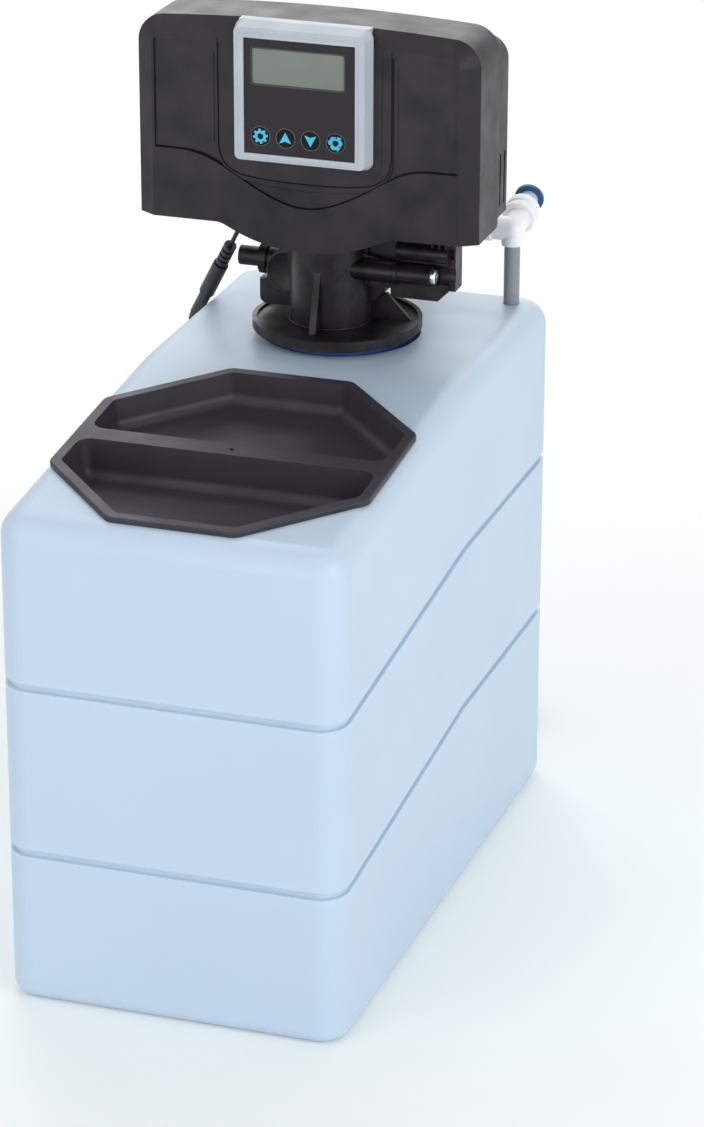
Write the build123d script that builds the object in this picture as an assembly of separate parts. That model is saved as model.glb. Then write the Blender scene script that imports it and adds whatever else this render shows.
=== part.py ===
from build123d import *
import math
import os

# Small cabinet water softener. Millimetres, +Z up. The origin is the centre of the cabinet's
# footprint on the floor, the front faces -Y, and the salt lid lies on the sloping front top.

# Cabinet
cabinet_width = 220.0
cabinet_depth = 436.0
cabinet_height = 345.0
cabinet_front_drop = 24.5
cabinet_knee_from_back = 189.0
cabinet_knee_radius = 320.0
cabinet_wall = 4.5
cabinet_corner_radius = 18.0
cabinet_top_radius = 16.0
cabinet_bottom_radius = 10.0
groove_heights = (126.0, 236.5)
groove_width = 5.0
groove_depth = 2.4
tank_hole_radius = 52.0
tank_hole_offset = 7.0
overrun = 3.0
seat_gap = 0.3
slip_gap = 0.1
bearing_gap = 0.06

# Salt lid
lid_from_side = 7.5
lid_length = 217.0
lid_center_from_front = 119.5
lid_corner_cut = 62.0
lid_corner_radius = 9.0
lid_rim_height = 3.4
lid_rim_width = 7.0
lid_rim_round = 1.0
lid_bar_width = 15.0
lid_bar_from_center = 3.5
lid_pocket_depth = 23.0
lid_back_pocket_depth = 18.0
lid_floor_round = 7.0
lid_notch_radius = 1.6
lid_notch_depth = 1.2
lid_pocket_draft = 9.0
lid_skin = 2.2
lid_pocket_round = 9.0
lid_opening_gap = 2.5

# Resin tank under the valve
tank_center_y = 97.0
tank_from_side = 21.0
tank_wall = 3.0
tank_knuckle_radius = 30.0
tank_crown_radius = 130.0
tank_bottom_z = 13.0
tank_shoulder_z = 292.0
tank_neck_radius = 44.0
tank_neck_top_z = 348.0
tank_bore_radius = 32.0
tank_foot_inset = 9.0
tank_foot_height = 34.0
tank_foot_wall = 14.0
gasket_inner_radius = 34.0
gasket_outer_radius = 41.0
riser_radius = 13.35
riser_wall = 1.75
riser_top_z = 372.0
strainer_radius = 22.0
strainer_height = 42.0
strainer_gap = 3.0
strainer_floor = 3.0
strainer_slot_width = 2.0
strainer_slots = 10
top_strainer_radius = 25.0
top_strainer_height = 24.0
resin_top_z = 232.0

# Salt platform in front of the tank
platform_height = 52.0
platform_thickness = 3.0
platform_wall_gap = 1.5
platform_tank_gap = 3.0
platform_slot_length = 40.0
platform_slot_width = 7.0
platform_slot_rows = 8
platform_slot_columns = 4
platform_leg_radius = 7.0
platform_leg_inset = 16.0

# Brine well, its tube, float and air check
brine_from_side = 21.2
brine_y = 192.5
brine_tube_radius = 5.25
brine_tube_bore = 3.4
well_radius = 14.5
well_bottom_round = 4.0
well_wall = 1.8
well_top_z = 322.0
well_slot_width = 5.0
well_slot_height = 26.0
well_cap_radius = 16.0
well_cap_height = 5.0
well_cap_lip = 6.0
float_wall_gap = 0.8
float_height = 40.0
float_rest_z = 64.0
float_round = 3.0
check_radius = 9.0
check_foot_height = 2.0
check_height = 38.0
check_chamber_radius = 5.8
check_chamber_height = 17.0
check_seat_radius = 3.0
check_seat_height = 5.0
check_socket_depth = 12.0
check_window_width = 4.0
check_ball_radius = 4.4

# Overflow spigot in the back wall
overflow_from_side = 40.0
overflow_z = 288.0
overflow_radius = 6.5
overflow_bore = 4.6
overflow_shank_radius = 8.0
overflow_flange_radius = 13.0
overflow_flange_thickness = 3.0
overflow_length = 22.0
overflow_nut_radius = 13.5
overflow_nut_thickness = 6.0
overflow_thread_length = 14.0

# Valve body
valve_x = -4.0
neck_y = 95.0
neck_radius = 26.0
neck_top_z = 424.0
flange_radius = 55.0
flange_thickness = 6.0
flange_lip_height = 1.5
flange_lip_width = 3.0
flange_chamfer = 1.5
spud_radius = 31.6
spud_length = 26.0
gusset_thickness = 4.4
gusset_depth = 11.0
gusset_height = 43.0
web_thickness = 3.0
web_left_x = 18.0
web_right_x = 47.4
web_apex_x = 31.0
web_apex_height = 17.0
web_y = 105.0
port_xs = (-31.8, 16.2)
port_z = 383.5
port_radius = 16.5
port_edge = 0.9
port_front_y = 97.0
port_rear_y = 202.0
port_bore = 9.6
port_bore_front_y = 112.0
port_thread_radius = 13.2
port_thread_length = 18.0
shoulder_x = -53.5
shoulder_bottom_z = 360.0
shoulder_top_z = 377.0
shoulder_back_y = 130.0
shoulder_round = 5.0
barrel_z = 457.0
barrel_radius = 27.0
barrel_front_y = 84.0
barrel_flange_radius = 34.0
barrel_flange_thickness = 5.0
barrel_end_y = 178.0
barrel_bore = 17.2
barrel_bore_end_y = 171.0
barrel_round = 8.0
bridge_width = 54.0
bridge_back_y = 160.0
passage_radius = 6.0
passage_xs = (-20.0, 9.0)
passage_ys = (118.0, 136.0)
drain_y = 104.5
drain_z = 389.0
drain_boss_radius = 8.0
drain_boss_x = -48.8
drain_bore = 4.6
brine_arm_radius = 9.0
brine_arm_short = 22.8
brine_arm_z = 396.0
brine_socket_depth = 14.0
injector_boss_x = 38.6
injector_boss_y0 = 93.0
injector_y0 = 88.0
injector_y1 = 104.0
injector_z0 = 377.0
injector_z1 = 417.5
cap_boss_radius = 6.9
cap_boss_end_x = 43.0
boss_web_y = 87.0
boss_web_thickness = 4.0
boss_web_drop = 7.5
boss_web_fall = 11.0

# Flow meter in the left port: a cage with a pin, and a turbine on it
meter_back_y = 194.0
meter_ring_width = 4.0
meter_ring_wall = 1.3
meter_spoke = 1.4
meter_spokes = 3
turbine_pin_radius = 1.2
turbine_pin_head = 2.2
turbine_pin_head_length = 1.5
turbine_radius = 8.4
turbine_hub_radius = 2.8
turbine_length = 10.0
turbine_blades = 6
turbine_blade = 1.2
turbine_end_play = 0.8

# Piston, seals and spacers
piston_radius = 9.0
piston_waist_radius = 6.0
piston_start_y = 93.0
piston_length = 52.0
piston_land = 9.0
rod_radius = 5.0
rod_front_y = 51.0
seal_count = 5
seal_width = 3.0
seal_gap = 0.08
spacer_width = 9.0
spacer_inner_radius = 11.5
spacer_windows = 6
spacer_window_width = 5.0
end_plug_length = 8.0

# Drive plate, gears and motor
plate_y0 = 80.0
plate_thickness = 4.0
plate_from_cover_side = 12.0
plate_bottom_z = 443.0
plate_top_z = 542.0
plate_round = 10.0
bush_radius = 17.0
bush_length = 9.0
journal_radius = 12.0
gear_module = 1.5
drive_teeth = 40
small_teeth = 12
train_module = 1.25
wheel_teeth = 32
pinion_teeth = 10
pressure_angle = 20.0
addendum_share = 0.85
dedendum_share = 1.1
gear_backlash = 0.32
drive_gear_y0 = 57.0
drive_gear_width = 7.0
gear_side_gap = 1.0
gear_hub_radius = 9.5
wheel_y0 = 48.5
wheel_width = 5.5
axle_radius = 2.5
axle_front_y = 46.0
reduction_angle = 125.0
pinion_angle = 130.0
motor_radius = 19.0
motor_length = 22.0
motor_round = 2.0
motor_shaft_radius = 2.0
motor_bush_radius = 5.0

# Front cover and rear housing
cover_half_width = 112.0
cover_front_y = 33.0
cover_back_y = 78.0
cover_bottom_z = 433.5
cover_top_z = 566.0
cover_top_arch = 4.5
cover_corner_radius = 18.0
cover_wall = 2.6
cover_bevel = 11.0
cover_bevel_depth = 7.0
belly_radius = 112.0
belly_bottom_z = 418.6
belly_blend = 16.0
apron_step = 1.6
apron_top_z = 478.5
apron_dip_z = 447.0
apron_run_share = 0.72
apron_shoulder_share = 0.72
apron_fall_share = 0.32
panel_inset = 1.6
bib_half_width = 57.5
bib_bottom_z = 462.5
bib_corner = 20.0
bib_step = 1.2
bib_rim = 7.0
neck_cut_gap = 3.0
housing_inset = 2.8
housing_top_drop = 10.0
housing_flange = 3.0
housing_flange_inset = 0.4
housing_back_y = 112.0
housing_wall = 2.5
housing_bottom_z = 438.0
housing_round = 5.0
barrel_cut_gap = 3.0
housing_slot_width = 2.5
housing_slot_height = 34.0
housing_slot_gap = 9.0
housing_slot_count = 3

# Control frame, panel, display, buttons and board
frame_front_y = 23.0
frame_half_width = 45.0
frame_draft = 2.5
frame_bottom_z = 476.5
frame_top_z = 566.0
frame_corner = 6.0
panel_half_width = 36.4
panel_bottom_z = 483.5
panel_top_z = 557.0
panel_recess = 1.0
panel_thickness = 2.0
panel_ledge = 2.0
display_center_x = -1.0
display_width = 60.0
display_bottom_z = 528.0
display_height = 22.5
display_thickness = 4.0
display_recess = 0.5
button_spacing = 16.4
button_z = 494.8
button_radius = 5.8
button_gap = 0.35
button_travel = 1.0
button_face_recess = 0.3
button_flange_radius = 6.6
button_flange = 1.0
button_stem_radius = 2.0
button_dish = 0.4
board_y = 38.5
board_thickness = 1.6
board_half_width = 42.0
board_bottom_z = 486.0
board_top_z = 554.0
switch_size = 6.0
switch_depth = 4.0
switch_clearance = 0.15
display_post_size = 8.0
board_post_radius = 3.0
board_post_inset = 3.5

# Injector on the valve's right side
injector_x1 = 81.6
injector_chamfer = 7.0
injector_edge = 4.0
injector_rib_radius = 6.0
injector_rib_y = 89.0
injector_rib_z = 408.5
injector_end_plate = 4.0
cap_y = 84.0
cap_z = 394.8
cap_collar_width = 2.6
cap_collar_radius = 7.5
cap_nose_radius = 6.3
cap_end_x = 68.0
nozzle_radius = 3.2
nozzle_length = 32.0
screw_head_radius = 5.0
screw_head_height = 3.0
screw_shank_radius = 2.0
screw_length = 12.0
screw_cross_width = 1.4
screw_cross_depth = 1.4

# Drain fitting on the left
drain_nut_radius = 10.4
drain_nut_width = 5.2
drain_spigot_radius = 6.4
drain_spigot_end_x = -68.6
drain_thread_radius = 5.6
drain_flats = 16
drain_flat_depth = 0.5

# Brine elbow at the right rear
elbow_radius = 8.0
elbow_nut_radius = 9.2
elbow_nut_length = 9.0
elbow_left_reach = 13.0
elbow_tilt = 14.6
elbow_waist_radius = 10.0
elbow_collar_radius = 11.3
elbow_collar_length = 6.0
elbow_collar_round = 1.0
elbow_waist_length = 2.0
elbow_back_reach = 27.0
elbow_socket_radius = 7.2
elbow_socket_length = 10.5
stem_radius = 5.0
stem_bore = 3.2
collet_radius = 5.6
collet_bore = 4.8
collet_flange_radius = 9.8
collet_flange = 2.4
collet_out = 11.5
collet_depth = 8.0
collet_travel = 1.5

# Low-voltage lead, connectors, adaptor lead and its coil
grommet_x = -60.0
grommet_y = 100.0
grommet_radius = 5.0
grommet_length = 4.0
grommet_groove = 1.2
lead_radius = 1.5
cord_radius = 2.0
route_bend_share = 0.45
connector_top = (-82.6, 122.6, 388.2)
connector_end = (-122.0, 155.0, 323.0)
relief_length = 20.0
relief_radius = 4.2
relief_ribs = 4
relief_rib_gap = 1.6
relief_core_radius = 3.0
socket_length = 32.0
socket_radius = 5.15
plug_radius = 4.0
plug_tip_radius = 3.0
plug_tip_length = 8.0
lead_points = (
    (-60.0, 100.0, 441.0),
    (-60.0, 100.0, 428.0),
    (-73.08, 114.77, 403.95),
    (-82.6, 122.6, 388.2),
)
cord_points = (
    (-122.0, 155.0, 323.0),
    (-131.1, 161.3, 308.8),
    (-133.5, 167.0, 276.0),
    (-130.5, 173.0, 222.0),
    (-127.5, 171.0, 166.0),
    (-129.0, 177.0, 110.0),
    (-131.5, 184.0, 58.0),
    (-131.0, 203.0, 22.0),
    (-127.0, 236.0, 2.8),
    (-110.0, 268.0, 2.5),
    (-83.0, 289.0, 2.4),
    (-58.0, 289.0, 2.4),
)
coil_center_x = -52.0
coil_outer_radius = 27.0
coil_pitch = 4.5
coil_half_turns = 6
tail_points = (
    (-46.0, 289.0, 6.9),
    (-36.0, 289.0, 6.9),
    (-22.0, 288.0, 9.8),
    (-9.0, 286.0, 12.0),
    (2.0, 286.0, 12.0),
)
adaptor_x0 = 14.0
adaptor_length = 62.0
adaptor_y = 286.0
adaptor_width = 38.0
adaptor_height = 27.0
adaptor_lead_z = 12.0
adaptor_round = 4.0
adaptor_relief_radius = 4.5
adaptor_lift = 0.2
adaptor_pin_radius = 2.0
adaptor_pin_length = 19.0
adaptor_pin_spacing = 19.0
adaptor_boss_height = 6.0

# Places that follow from the sizes above
cabinet_front_y = -cabinet_depth / 2
cabinet_back_y = cabinet_depth / 2
tank_radius = cabinet_width / 2 - tank_from_side
tank_foot_radius = tank_radius - tank_foot_inset
lid_width = cabinet_width - 2 * lid_from_side
brine_x = cabinet_width / 2 - brine_from_side
elbow_x = brine_x
brine_arm_x = elbow_x - brine_arm_short
overflow_x = overflow_from_side - cabinet_width / 2
plate_half_width = cover_half_width - plate_from_cover_side
knee_y = cabinet_back_y - cabinet_knee_from_back
slope_angle = math.degrees(math.atan(cabinet_front_drop / (knee_y - cabinet_front_y)))
lid_center_y = cabinet_front_y + lid_center_from_front
lid_center_z = cabinet_height - (knee_y - lid_center_y) * math.tan(math.radians(slope_angle))
flange_bottom_z = tank_neck_top_z + 2.0
flange_top_z = flange_bottom_z + flange_thickness
drive_pitch_radius = gear_module * drive_teeth / 2
small_pitch_radius = gear_module * small_teeth / 2
wheel_pitch_radius = train_module * wheel_teeth / 2
pinion_pitch_radius = train_module * pinion_teeth / 2
drive_center = (valve_x, barrel_z)
strainer_z = tank_bottom_z + tank_wall + strainer_gap
riser_bottom_z = strainer_z + strainer_height / 2
cap_start_x = cap_boss_end_x + seat_gap


def beside(center, distance, angle):
    """Point at a distance and angle from a centre, in X and Z."""
    turn = math.radians(angle)
    return (center[0] + distance * math.cos(turn), center[1] + distance * math.sin(turn))


reduction_center = beside(drive_center, drive_pitch_radius + small_pitch_radius, reduction_angle)
motor_center = beside(reduction_center, wheel_pitch_radius + pinion_pitch_radius, pinion_angle)


def post(radius, x, y, z0, z1):
    """Round post along Z."""
    return extrude(Plane((x, y, z0)) * Circle(radius), amount=z1 - z0)


def bar_y(radius, x, z, y0, y1):
    """Round bar along Y."""
    return extrude(Plane.XZ.offset(-y0) * Pos(x, z) * Circle(radius), amount=y0 - y1)


def bar_x(radius, y, z, x0, x1):
    """Round bar along X."""
    return extrude(Plane.YZ.offset(x0) * Pos(y, z) * Circle(radius), amount=x1 - x0)


def block(x0, x1, y0, y1, z0, z1):
    """Box between two corners."""
    return Pos((x0 + x1) / 2, (y0 + y1) / 2, (z0 + z1) / 2) * Box(x1 - x0, y1 - y0, z1 - z0)


def plate_xz(face, y0, y1):
    """Extrudes a face drawn in X and Z from depth y0 back to y1."""
    return extrude(Plane.XZ.offset(-y0) * face, amount=y0 - y1)


def slab_yz(face, x0, x1):
    """Extrudes a face drawn in Y and Z from x0 to x1."""
    return extrude(Plane.YZ.offset(x0) * face, amount=x1 - x0)


def polygon(points):
    """Flat face with straight sides."""
    return make_face(Polyline(*points, close=True))


def edges_at(solid, axis, low, high):
    """Edges whose whole length lies between two values on an axis."""
    picked = []
    for edge in solid.edges():
        box = edge.bounding_box()
        if getattr(box.min, axis) >= low and getattr(box.max, axis) <= high:
            picked.append(edge)
    return picked


# Cabinet
def cabinet_block(inset):
    """The cabinet's outer form, drawn in by a wall."""
    slope = math.radians(slope_angle)
    front = cabinet_front_y + inset
    back = cabinet_back_y - inset
    top = cabinet_height - inset
    knee = knee_y + inset * math.tan(slope / 2)
    front_top = top - (knee - front) * math.tan(slope)
    side = polygon([(front, inset), (back, inset), (back, top), (knee, top), (front, front_top)])
    side = fillet(side.vertices().sort_by_distance((knee, top))[0], cabinet_knee_radius - inset)
    half = cabinet_width / 2 - inset
    body = slab_yz(side, -half, half)
    uprights = body.edges().filter_by(Axis.Z)
    body = fillet(uprights, cabinet_corner_radius - inset)
    top_edges = edges_at(body, "Z", front_top - overrun, top + overrun)
    body = fillet(top_edges, cabinet_top_radius - inset)
    bottom_edges = edges_at(body, "Z", inset - overrun, inset + overrun / 2)
    return fillet(bottom_edges, cabinet_bottom_radius - inset)


def groove_cut(height):
    """Groove that runs round the cabinet, level behind the knee and sloping in front."""
    slope = math.tan(math.radians(slope_angle))
    front = cabinet_front_y - overrun
    back = cabinet_back_y + overrun
    low = height - groove_width / 2
    high = height + groove_width / 2
    fall = (knee_y - front) * slope
    strip = polygon([(front, low - fall), (knee_y, low), (back, low),
                     (back, high), (knee_y, high), (front, high - fall)])
    band = slab_yz(strip, -cabinet_width / 2 - overrun, cabinet_width / 2 + overrun)
    core = extrude(RectangleRounded(cabinet_width - 2 * groove_depth, cabinet_depth - 2 * groove_depth,
                                    cabinet_corner_radius - groove_depth), amount=cabinet_height)
    return band - core


def lid_plane():
    """Plane of the sloping top at the lid's middle."""
    slope = math.radians(slope_angle)
    return Plane(origin=(0, lid_center_y, lid_center_z), x_dir=(1, 0, 0),
                 z_dir=(0, -math.sin(slope), math.cos(slope)))


def lid_outline(inset):
    """Octagon of the lid, drawn in by a margin."""
    half_w = lid_width / 2 - inset
    half_l = lid_length / 2 - inset
    cut = lid_corner_cut - inset * (2 - math.sqrt(2))
    corners = []
    for sx, sy in ((1, 1), (-1, 1), (-1, -1), (1, -1)):
        pair = [(sx * half_w, sy * (half_l - cut)), (sx * (half_w - cut), sy * half_l)]
        corners += pair if sx * sy > 0 else pair[::-1]
    face = polygon(corners)
    return fillet(face.vertices(), max(lid_corner_radius - inset / 2, lid_skin))


def cabinet_shell():
    shell = cabinet_block(0) - cabinet_block(cabinet_wall)
    for height in groove_heights:
        shell -= groove_cut(height)
    opening = lid_outline(lid_rim_width - lid_skin - lid_opening_gap)
    depth = lid_pocket_depth
    shell -= lid_plane() * Pos(0, 0, -depth) * extrude(opening, amount=depth + overrun)
    top_low = cabinet_height - 2 * cabinet_wall
    top_high = cabinet_height + overrun
    shell -= post(tank_hole_radius, 0, tank_center_y + tank_hole_offset, top_low, top_high)
    shell -= post(brine_tube_radius + seat_gap, brine_x, brine_y, top_low, top_high)
    shell -= bar_y(overflow_shank_radius + slip_gap, overflow_x, overflow_z,
                   cabinet_back_y - 2 * cabinet_wall, cabinet_back_y + overrun)
    return shell


# Lid
def pocket_face(inset, front):
    """One of the two pockets beside the bar."""
    outline = lid_outline(inset)
    bar_middle = -lid_bar_from_center
    half_bar = lid_bar_width / 2 - lid_rim_width + inset
    if front:
        keep = Pos(0, bar_middle - half_bar - lid_length / 2) * Rectangle(lid_width, lid_length)
    else:
        keep = Pos(0, bar_middle + half_bar + lid_length / 2) * Rectangle(lid_width, lid_length)
    face = outline & keep
    return fillet(face.vertices().group_by(Axis.Y)[-1 if front else 0], lid_pocket_round)


def salt_lid():
    rim = extrude(lid_outline(0), amount=lid_rim_height)
    top_edges = edges_at(rim, "Z", lid_rim_height - slip_gap, lid_rim_height + slip_gap)
    lid = fillet(top_edges, lid_rim_round)
    outers = []
    voids = []
    for front in (True, False):
        outer = pocket_face(lid_rim_width - lid_skin, front)
        inner = pocket_face(lid_rim_width, front)
        depth = lid_pocket_depth if front else lid_back_pocket_depth
        form = extrude(outer, amount=-depth, taper=lid_pocket_draft)
        outers.append(fillet(form.edges().group_by(Axis.Z)[0], lid_floor_round + lid_skin))
        start = Pos(0, 0, lid_rim_height)
        reach = depth + lid_rim_height - lid_skin
        pocket = start * extrude(inner, amount=-reach, taper=lid_pocket_draft)
        voids.append(fillet(pocket.edges().group_by(Axis.Z)[0], lid_floor_round))
    for outer in outers:
        lid += outer
    for pocket in voids:
        lid -= pocket
    lid -= post(lid_notch_radius, 0, -lid_bar_from_center, lid_rim_height - lid_notch_depth, lid_rim_height + overrun)
    return lid_plane() * lid


# Resin tank
def tank_form(inset):
    """Solid of revolution of the tank's outer form, drawn in by a wall, without its neck."""
    radius = tank_radius - inset
    knuckle = tank_knuckle_radius - inset
    crown = tank_crown_radius - inset
    reach = tank_crown_radius - tank_knuckle_radius
    across = tank_radius - tank_knuckle_radius
    drop = math.sqrt(reach ** 2 - across ** 2)
    bottom_z = tank_bottom_z + tank_crown_radius - drop
    head = []
    angle = math.atan2(drop, across)
    for share in (0, 0.5, 1):
        turn = angle * share
        head.append((across + knuckle * math.cos(turn), knuckle * math.sin(turn)))
    crown_points = []
    for share in (0, 0.5, 1):
        turn = angle + (math.pi / 2 - angle) * share
        crown_points.append((crown * math.cos(turn), crown * math.sin(turn) - drop))
    crown_points[-1] = (0.0, crown - drop)
    top = [(r, tank_shoulder_z + z) for r, z in head]
    top_crown = [(r, tank_shoulder_z + z) for r, z in crown_points]
    low = [(r, bottom_z - z) for r, z in head]
    low_crown = [(r, bottom_z - z) for r, z in crown_points]
    line = [
        Line(low[0], top[0]),
        ThreePointArc(*top),
        ThreePointArc(*top_crown),
        Line(top_crown[2], low_crown[2]),
        ThreePointArc(*low_crown[::-1]),
        ThreePointArc(*low[::-1]),
    ]
    face = make_face(Wire(line))
    return Pos(0, tank_center_y, 0) * revolve(Plane.XZ * face, Axis.Z)


def resin_tank():
    neck_low = tank_shoulder_z
    tank = tank_form(0)
    tank += post(tank_neck_radius, 0, tank_center_y, neck_low, tank_neck_top_z)
    tank -= tank_form(tank_wall)
    return tank - post(tank_bore_radius, 0, tank_center_y, neck_low, tank_neck_top_z + overrun)


def tank_foot():
    foot = post(tank_foot_radius, 0, tank_center_y, cabinet_wall, cabinet_wall + tank_foot_height)
    hollow = tank_foot_radius - tank_foot_wall
    foot -= post(hollow, 0, tank_center_y, cabinet_wall - overrun, cabinet_wall + tank_foot_height + overrun)
    return foot - tank_form(-seat_gap)


def tank_gasket():
    ring = post(gasket_outer_radius, 0, tank_center_y, tank_neck_top_z, flange_bottom_z)
    return ring - post(gasket_inner_radius, 0, tank_center_y, tank_neck_top_z - overrun, flange_bottom_z + overrun)


def riser_tube():
    tube = post(riser_radius, 0, tank_center_y, riser_bottom_z, riser_top_z)
    return tube - post(riser_radius - riser_wall, 0, tank_center_y, riser_bottom_z - overrun, riser_top_z + overrun)


def slots_round(radius, y, z0, z1, width, count):
    """Radial slots through a basket's wall."""
    slots = None
    for i in range(count // 2):
        bar = Pos(0, y, (z0 + z1) / 2) * Rot(0, 0, 360 / count * i) * Box(4 * radius, width, z1 - z0)
        slots = bar if slots is None else slots + bar
    return slots


def strainer(radius, z0, z1, closed_bottom):
    """Slotted basket round the riser tube."""
    basket = post(radius, 0, tank_center_y, z0, z1)
    wall = strainer_floor
    room = post(radius - wall, 0, tank_center_y, z0 + (wall if closed_bottom else -overrun), z1 - wall)
    basket -= room
    basket -= post(riser_radius + slip_gap, 0, tank_center_y, z0 + wall, z1 + overrun)
    slots = slots_round(radius, tank_center_y, z0 + 2 * wall, z1 - 2 * wall, strainer_slot_width, strainer_slots)
    return basket - slots


def bottom_strainer():
    return strainer(strainer_radius, strainer_z, strainer_z + strainer_height, True)


def top_strainer():
    top = flange_bottom_z - spud_length
    basket = strainer(top_strainer_radius, top - top_strainer_height, top, False)
    return basket


def resin_bed():
    bed = tank_form(tank_wall + seat_gap)
    lid = post(tank_radius, 0, tank_center_y, resin_top_z, cabinet_height)
    bed -= lid
    bed -= post(riser_radius + seat_gap, 0, tank_center_y, tank_bottom_z, resin_top_z + overrun)
    base = strainer_z - seat_gap
    return bed - post(strainer_radius + seat_gap, 0, tank_center_y, base, base + strainer_height + 2 * seat_gap)


# Brine side
def salt_platform():
    x1 = cabinet_width / 2 - cabinet_wall - platform_wall_gap
    y0 = cabinet_front_y + cabinet_wall + platform_wall_gap
    y1 = tank_center_y - tank_radius - platform_tank_gap
    z1 = cabinet_wall + platform_height
    z0 = z1 - platform_thickness
    deck = block(-x1, x1, y0, y1, z0, z1)
    front_corners = deck.edges().filter_by(Axis.Z).group_by(Axis.Y)[0]
    deck = fillet(front_corners, cabinet_corner_radius - cabinet_wall)
    step_x = 2 * x1 / platform_slot_columns
    step_y = (y1 - y0) / platform_slot_rows
    slots = None
    for i in range(platform_slot_columns):
        for j in range(platform_slot_rows):
            place = Pos(-x1 + step_x * (i + 0.5), y0 + step_y * (j + 0.5), (z0 + z1) / 2)
            slot = place * Box(platform_slot_length, platform_slot_width, 3 * platform_thickness)
            slots = slot if slots is None else slots + slot
    deck -= slots
    for x in (-x1 + platform_leg_inset, 0, x1 - platform_leg_inset):
        for y in (y0 + platform_leg_inset, y1 - platform_leg_inset):
            deck += post(platform_leg_radius, x, y, cabinet_wall, z0)
    return deck


def brine_well():
    well = post(well_radius, brine_x, brine_y, cabinet_wall, well_top_z)
    well = fillet(well.edges().group_by(Axis.Z)[0], well_bottom_round)
    well -= post(well_radius - well_wall, brine_x, brine_y, cabinet_wall + well_wall, well_top_z + overrun)
    z = cabinet_wall + 2 * well_wall + well_slot_height / 2
    for angle in (45, 135):
        well -= Pos(brine_x, brine_y, z) * Rot(0, 0, angle) * Box(3 * well_radius, well_slot_width, well_slot_height)
    return well


def well_cap():
    cap = post(well_cap_radius, brine_x, brine_y, well_top_z, well_top_z + well_cap_height)
    inner = well_radius - well_wall - slip_gap
    cap += post(inner, brine_x, brine_y, well_top_z - well_cap_lip, well_top_z)
    hollow = inner - well_wall
    cap -= post(hollow, brine_x, brine_y, well_top_z - well_cap_lip - overrun, well_top_z)
    bore = brine_tube_radius + slip_gap
    return cap - post(bore, brine_x, brine_y, well_top_z - overrun, well_top_z + well_cap_height + overrun)


def safety_float():
    float_radius = well_radius - well_wall - float_wall_gap
    body = post(float_radius, brine_x, brine_y, float_rest_z, float_rest_z + float_height)
    body = fillet(body.edges().filter_by(GeomType.CIRCLE), float_round)
    bore = brine_tube_radius + 2 * seat_gap
    return body - post(bore, brine_x, brine_y, float_rest_z - overrun, float_rest_z + float_height + overrun)


check_foot_z = cabinet_wall + well_wall + check_foot_height
tube_bottom_z = check_foot_z + check_height - check_socket_depth + seat_gap
check_seat_z = check_foot_z + check_seat_height


def air_check():
    cage = post(check_radius, brine_x, brine_y, check_foot_z, check_foot_z + check_height)
    cage -= post(check_seat_radius, brine_x, brine_y, check_foot_z - overrun, check_foot_z + check_height)
    chamber_top = check_seat_z + check_chamber_height
    cage -= post(check_chamber_radius, brine_x, brine_y, check_seat_z, chamber_top)
    socket_z = check_foot_z + check_height - check_socket_depth
    cage -= post(brine_tube_radius + slip_gap, brine_x, brine_y, socket_z, check_foot_z + check_height + overrun)
    middle = (check_seat_z + chamber_top) / 2
    window = Box(3 * check_radius, check_window_width, check_chamber_height / 2)
    for angle in (0, 90):
        cage -= Pos(brine_x, brine_y, middle) * Rot(0, 0, angle) * window
    feet = post(check_radius, brine_x, brine_y, cabinet_wall + well_wall, check_foot_z)
    feet -= post(check_seat_radius, brine_x, brine_y, cabinet_wall, check_foot_z)
    feet -= Pos(brine_x, brine_y, check_foot_z) * Box(3 * check_radius, check_window_width, 2 * check_foot_height)
    return cage + feet


def check_ball():
    rise = math.sqrt(check_ball_radius ** 2 - check_seat_radius ** 2) + bearing_gap
    return Pos(brine_x, brine_y, check_seat_z + rise) * Sphere(check_ball_radius)


def brine_tube():
    top = brine_arm_z - elbow_radius
    tube = post(brine_tube_radius, brine_x, brine_y, tube_bottom_z, top)
    return tube - post(brine_tube_bore, brine_x, brine_y, tube_bottom_z - overrun, top + overrun)


def overflow_spigot():
    y0 = cabinet_back_y - cabinet_wall - overflow_thread_length
    y1 = cabinet_back_y + overflow_flange_thickness
    y2 = y1 + overflow_length
    spigot = bar_y(overflow_shank_radius, overflow_x, overflow_z, y0, cabinet_back_y)
    spigot += bar_y(overflow_flange_radius, overflow_x, overflow_z, cabinet_back_y, y1)
    spigot += bar_y(overflow_radius, overflow_x, overflow_z, y1, y2)
    return spigot - bar_y(overflow_bore, overflow_x, overflow_z, y0 - overrun, y2 + overrun)


def overflow_nut():
    y1 = cabinet_back_y - cabinet_wall
    hexagon = Pos(overflow_x, overflow_z) * RegularPolygon(overflow_nut_radius, 6)
    nut = plate_xz(hexagon, y1 - overflow_nut_thickness, y1)
    bore = overflow_shank_radius + slip_gap
    return nut - bar_y(bore, overflow_x, overflow_z, y1 - overflow_nut_thickness - overrun, y1 + overrun)


# Valve body
def valve_flange():
    disc = post(flange_radius, 0, tank_center_y, flange_bottom_z, flange_top_z + flange_lip_height)
    disc = chamfer(disc.edges().group_by(Axis.Z)[0], flange_chamfer)
    dish = flange_radius - flange_lip_width
    disc -= post(dish, 0, tank_center_y, flange_top_z, flange_top_z + overrun)
    spud = post(spud_radius, 0, tank_center_y, flange_bottom_z - spud_length, flange_bottom_z)
    return disc + spud


def port_barrel(x):
    barrel = bar_y(port_radius, x, port_z, port_front_y, port_rear_y)
    barrel = fillet(barrel.edges().filter_by(GeomType.CIRCLE).group_by(Axis.Y)[0], port_edge)
    return barrel + bar_y(port_thread_radius, x, port_z, port_rear_y, port_rear_y + port_thread_length)


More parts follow.
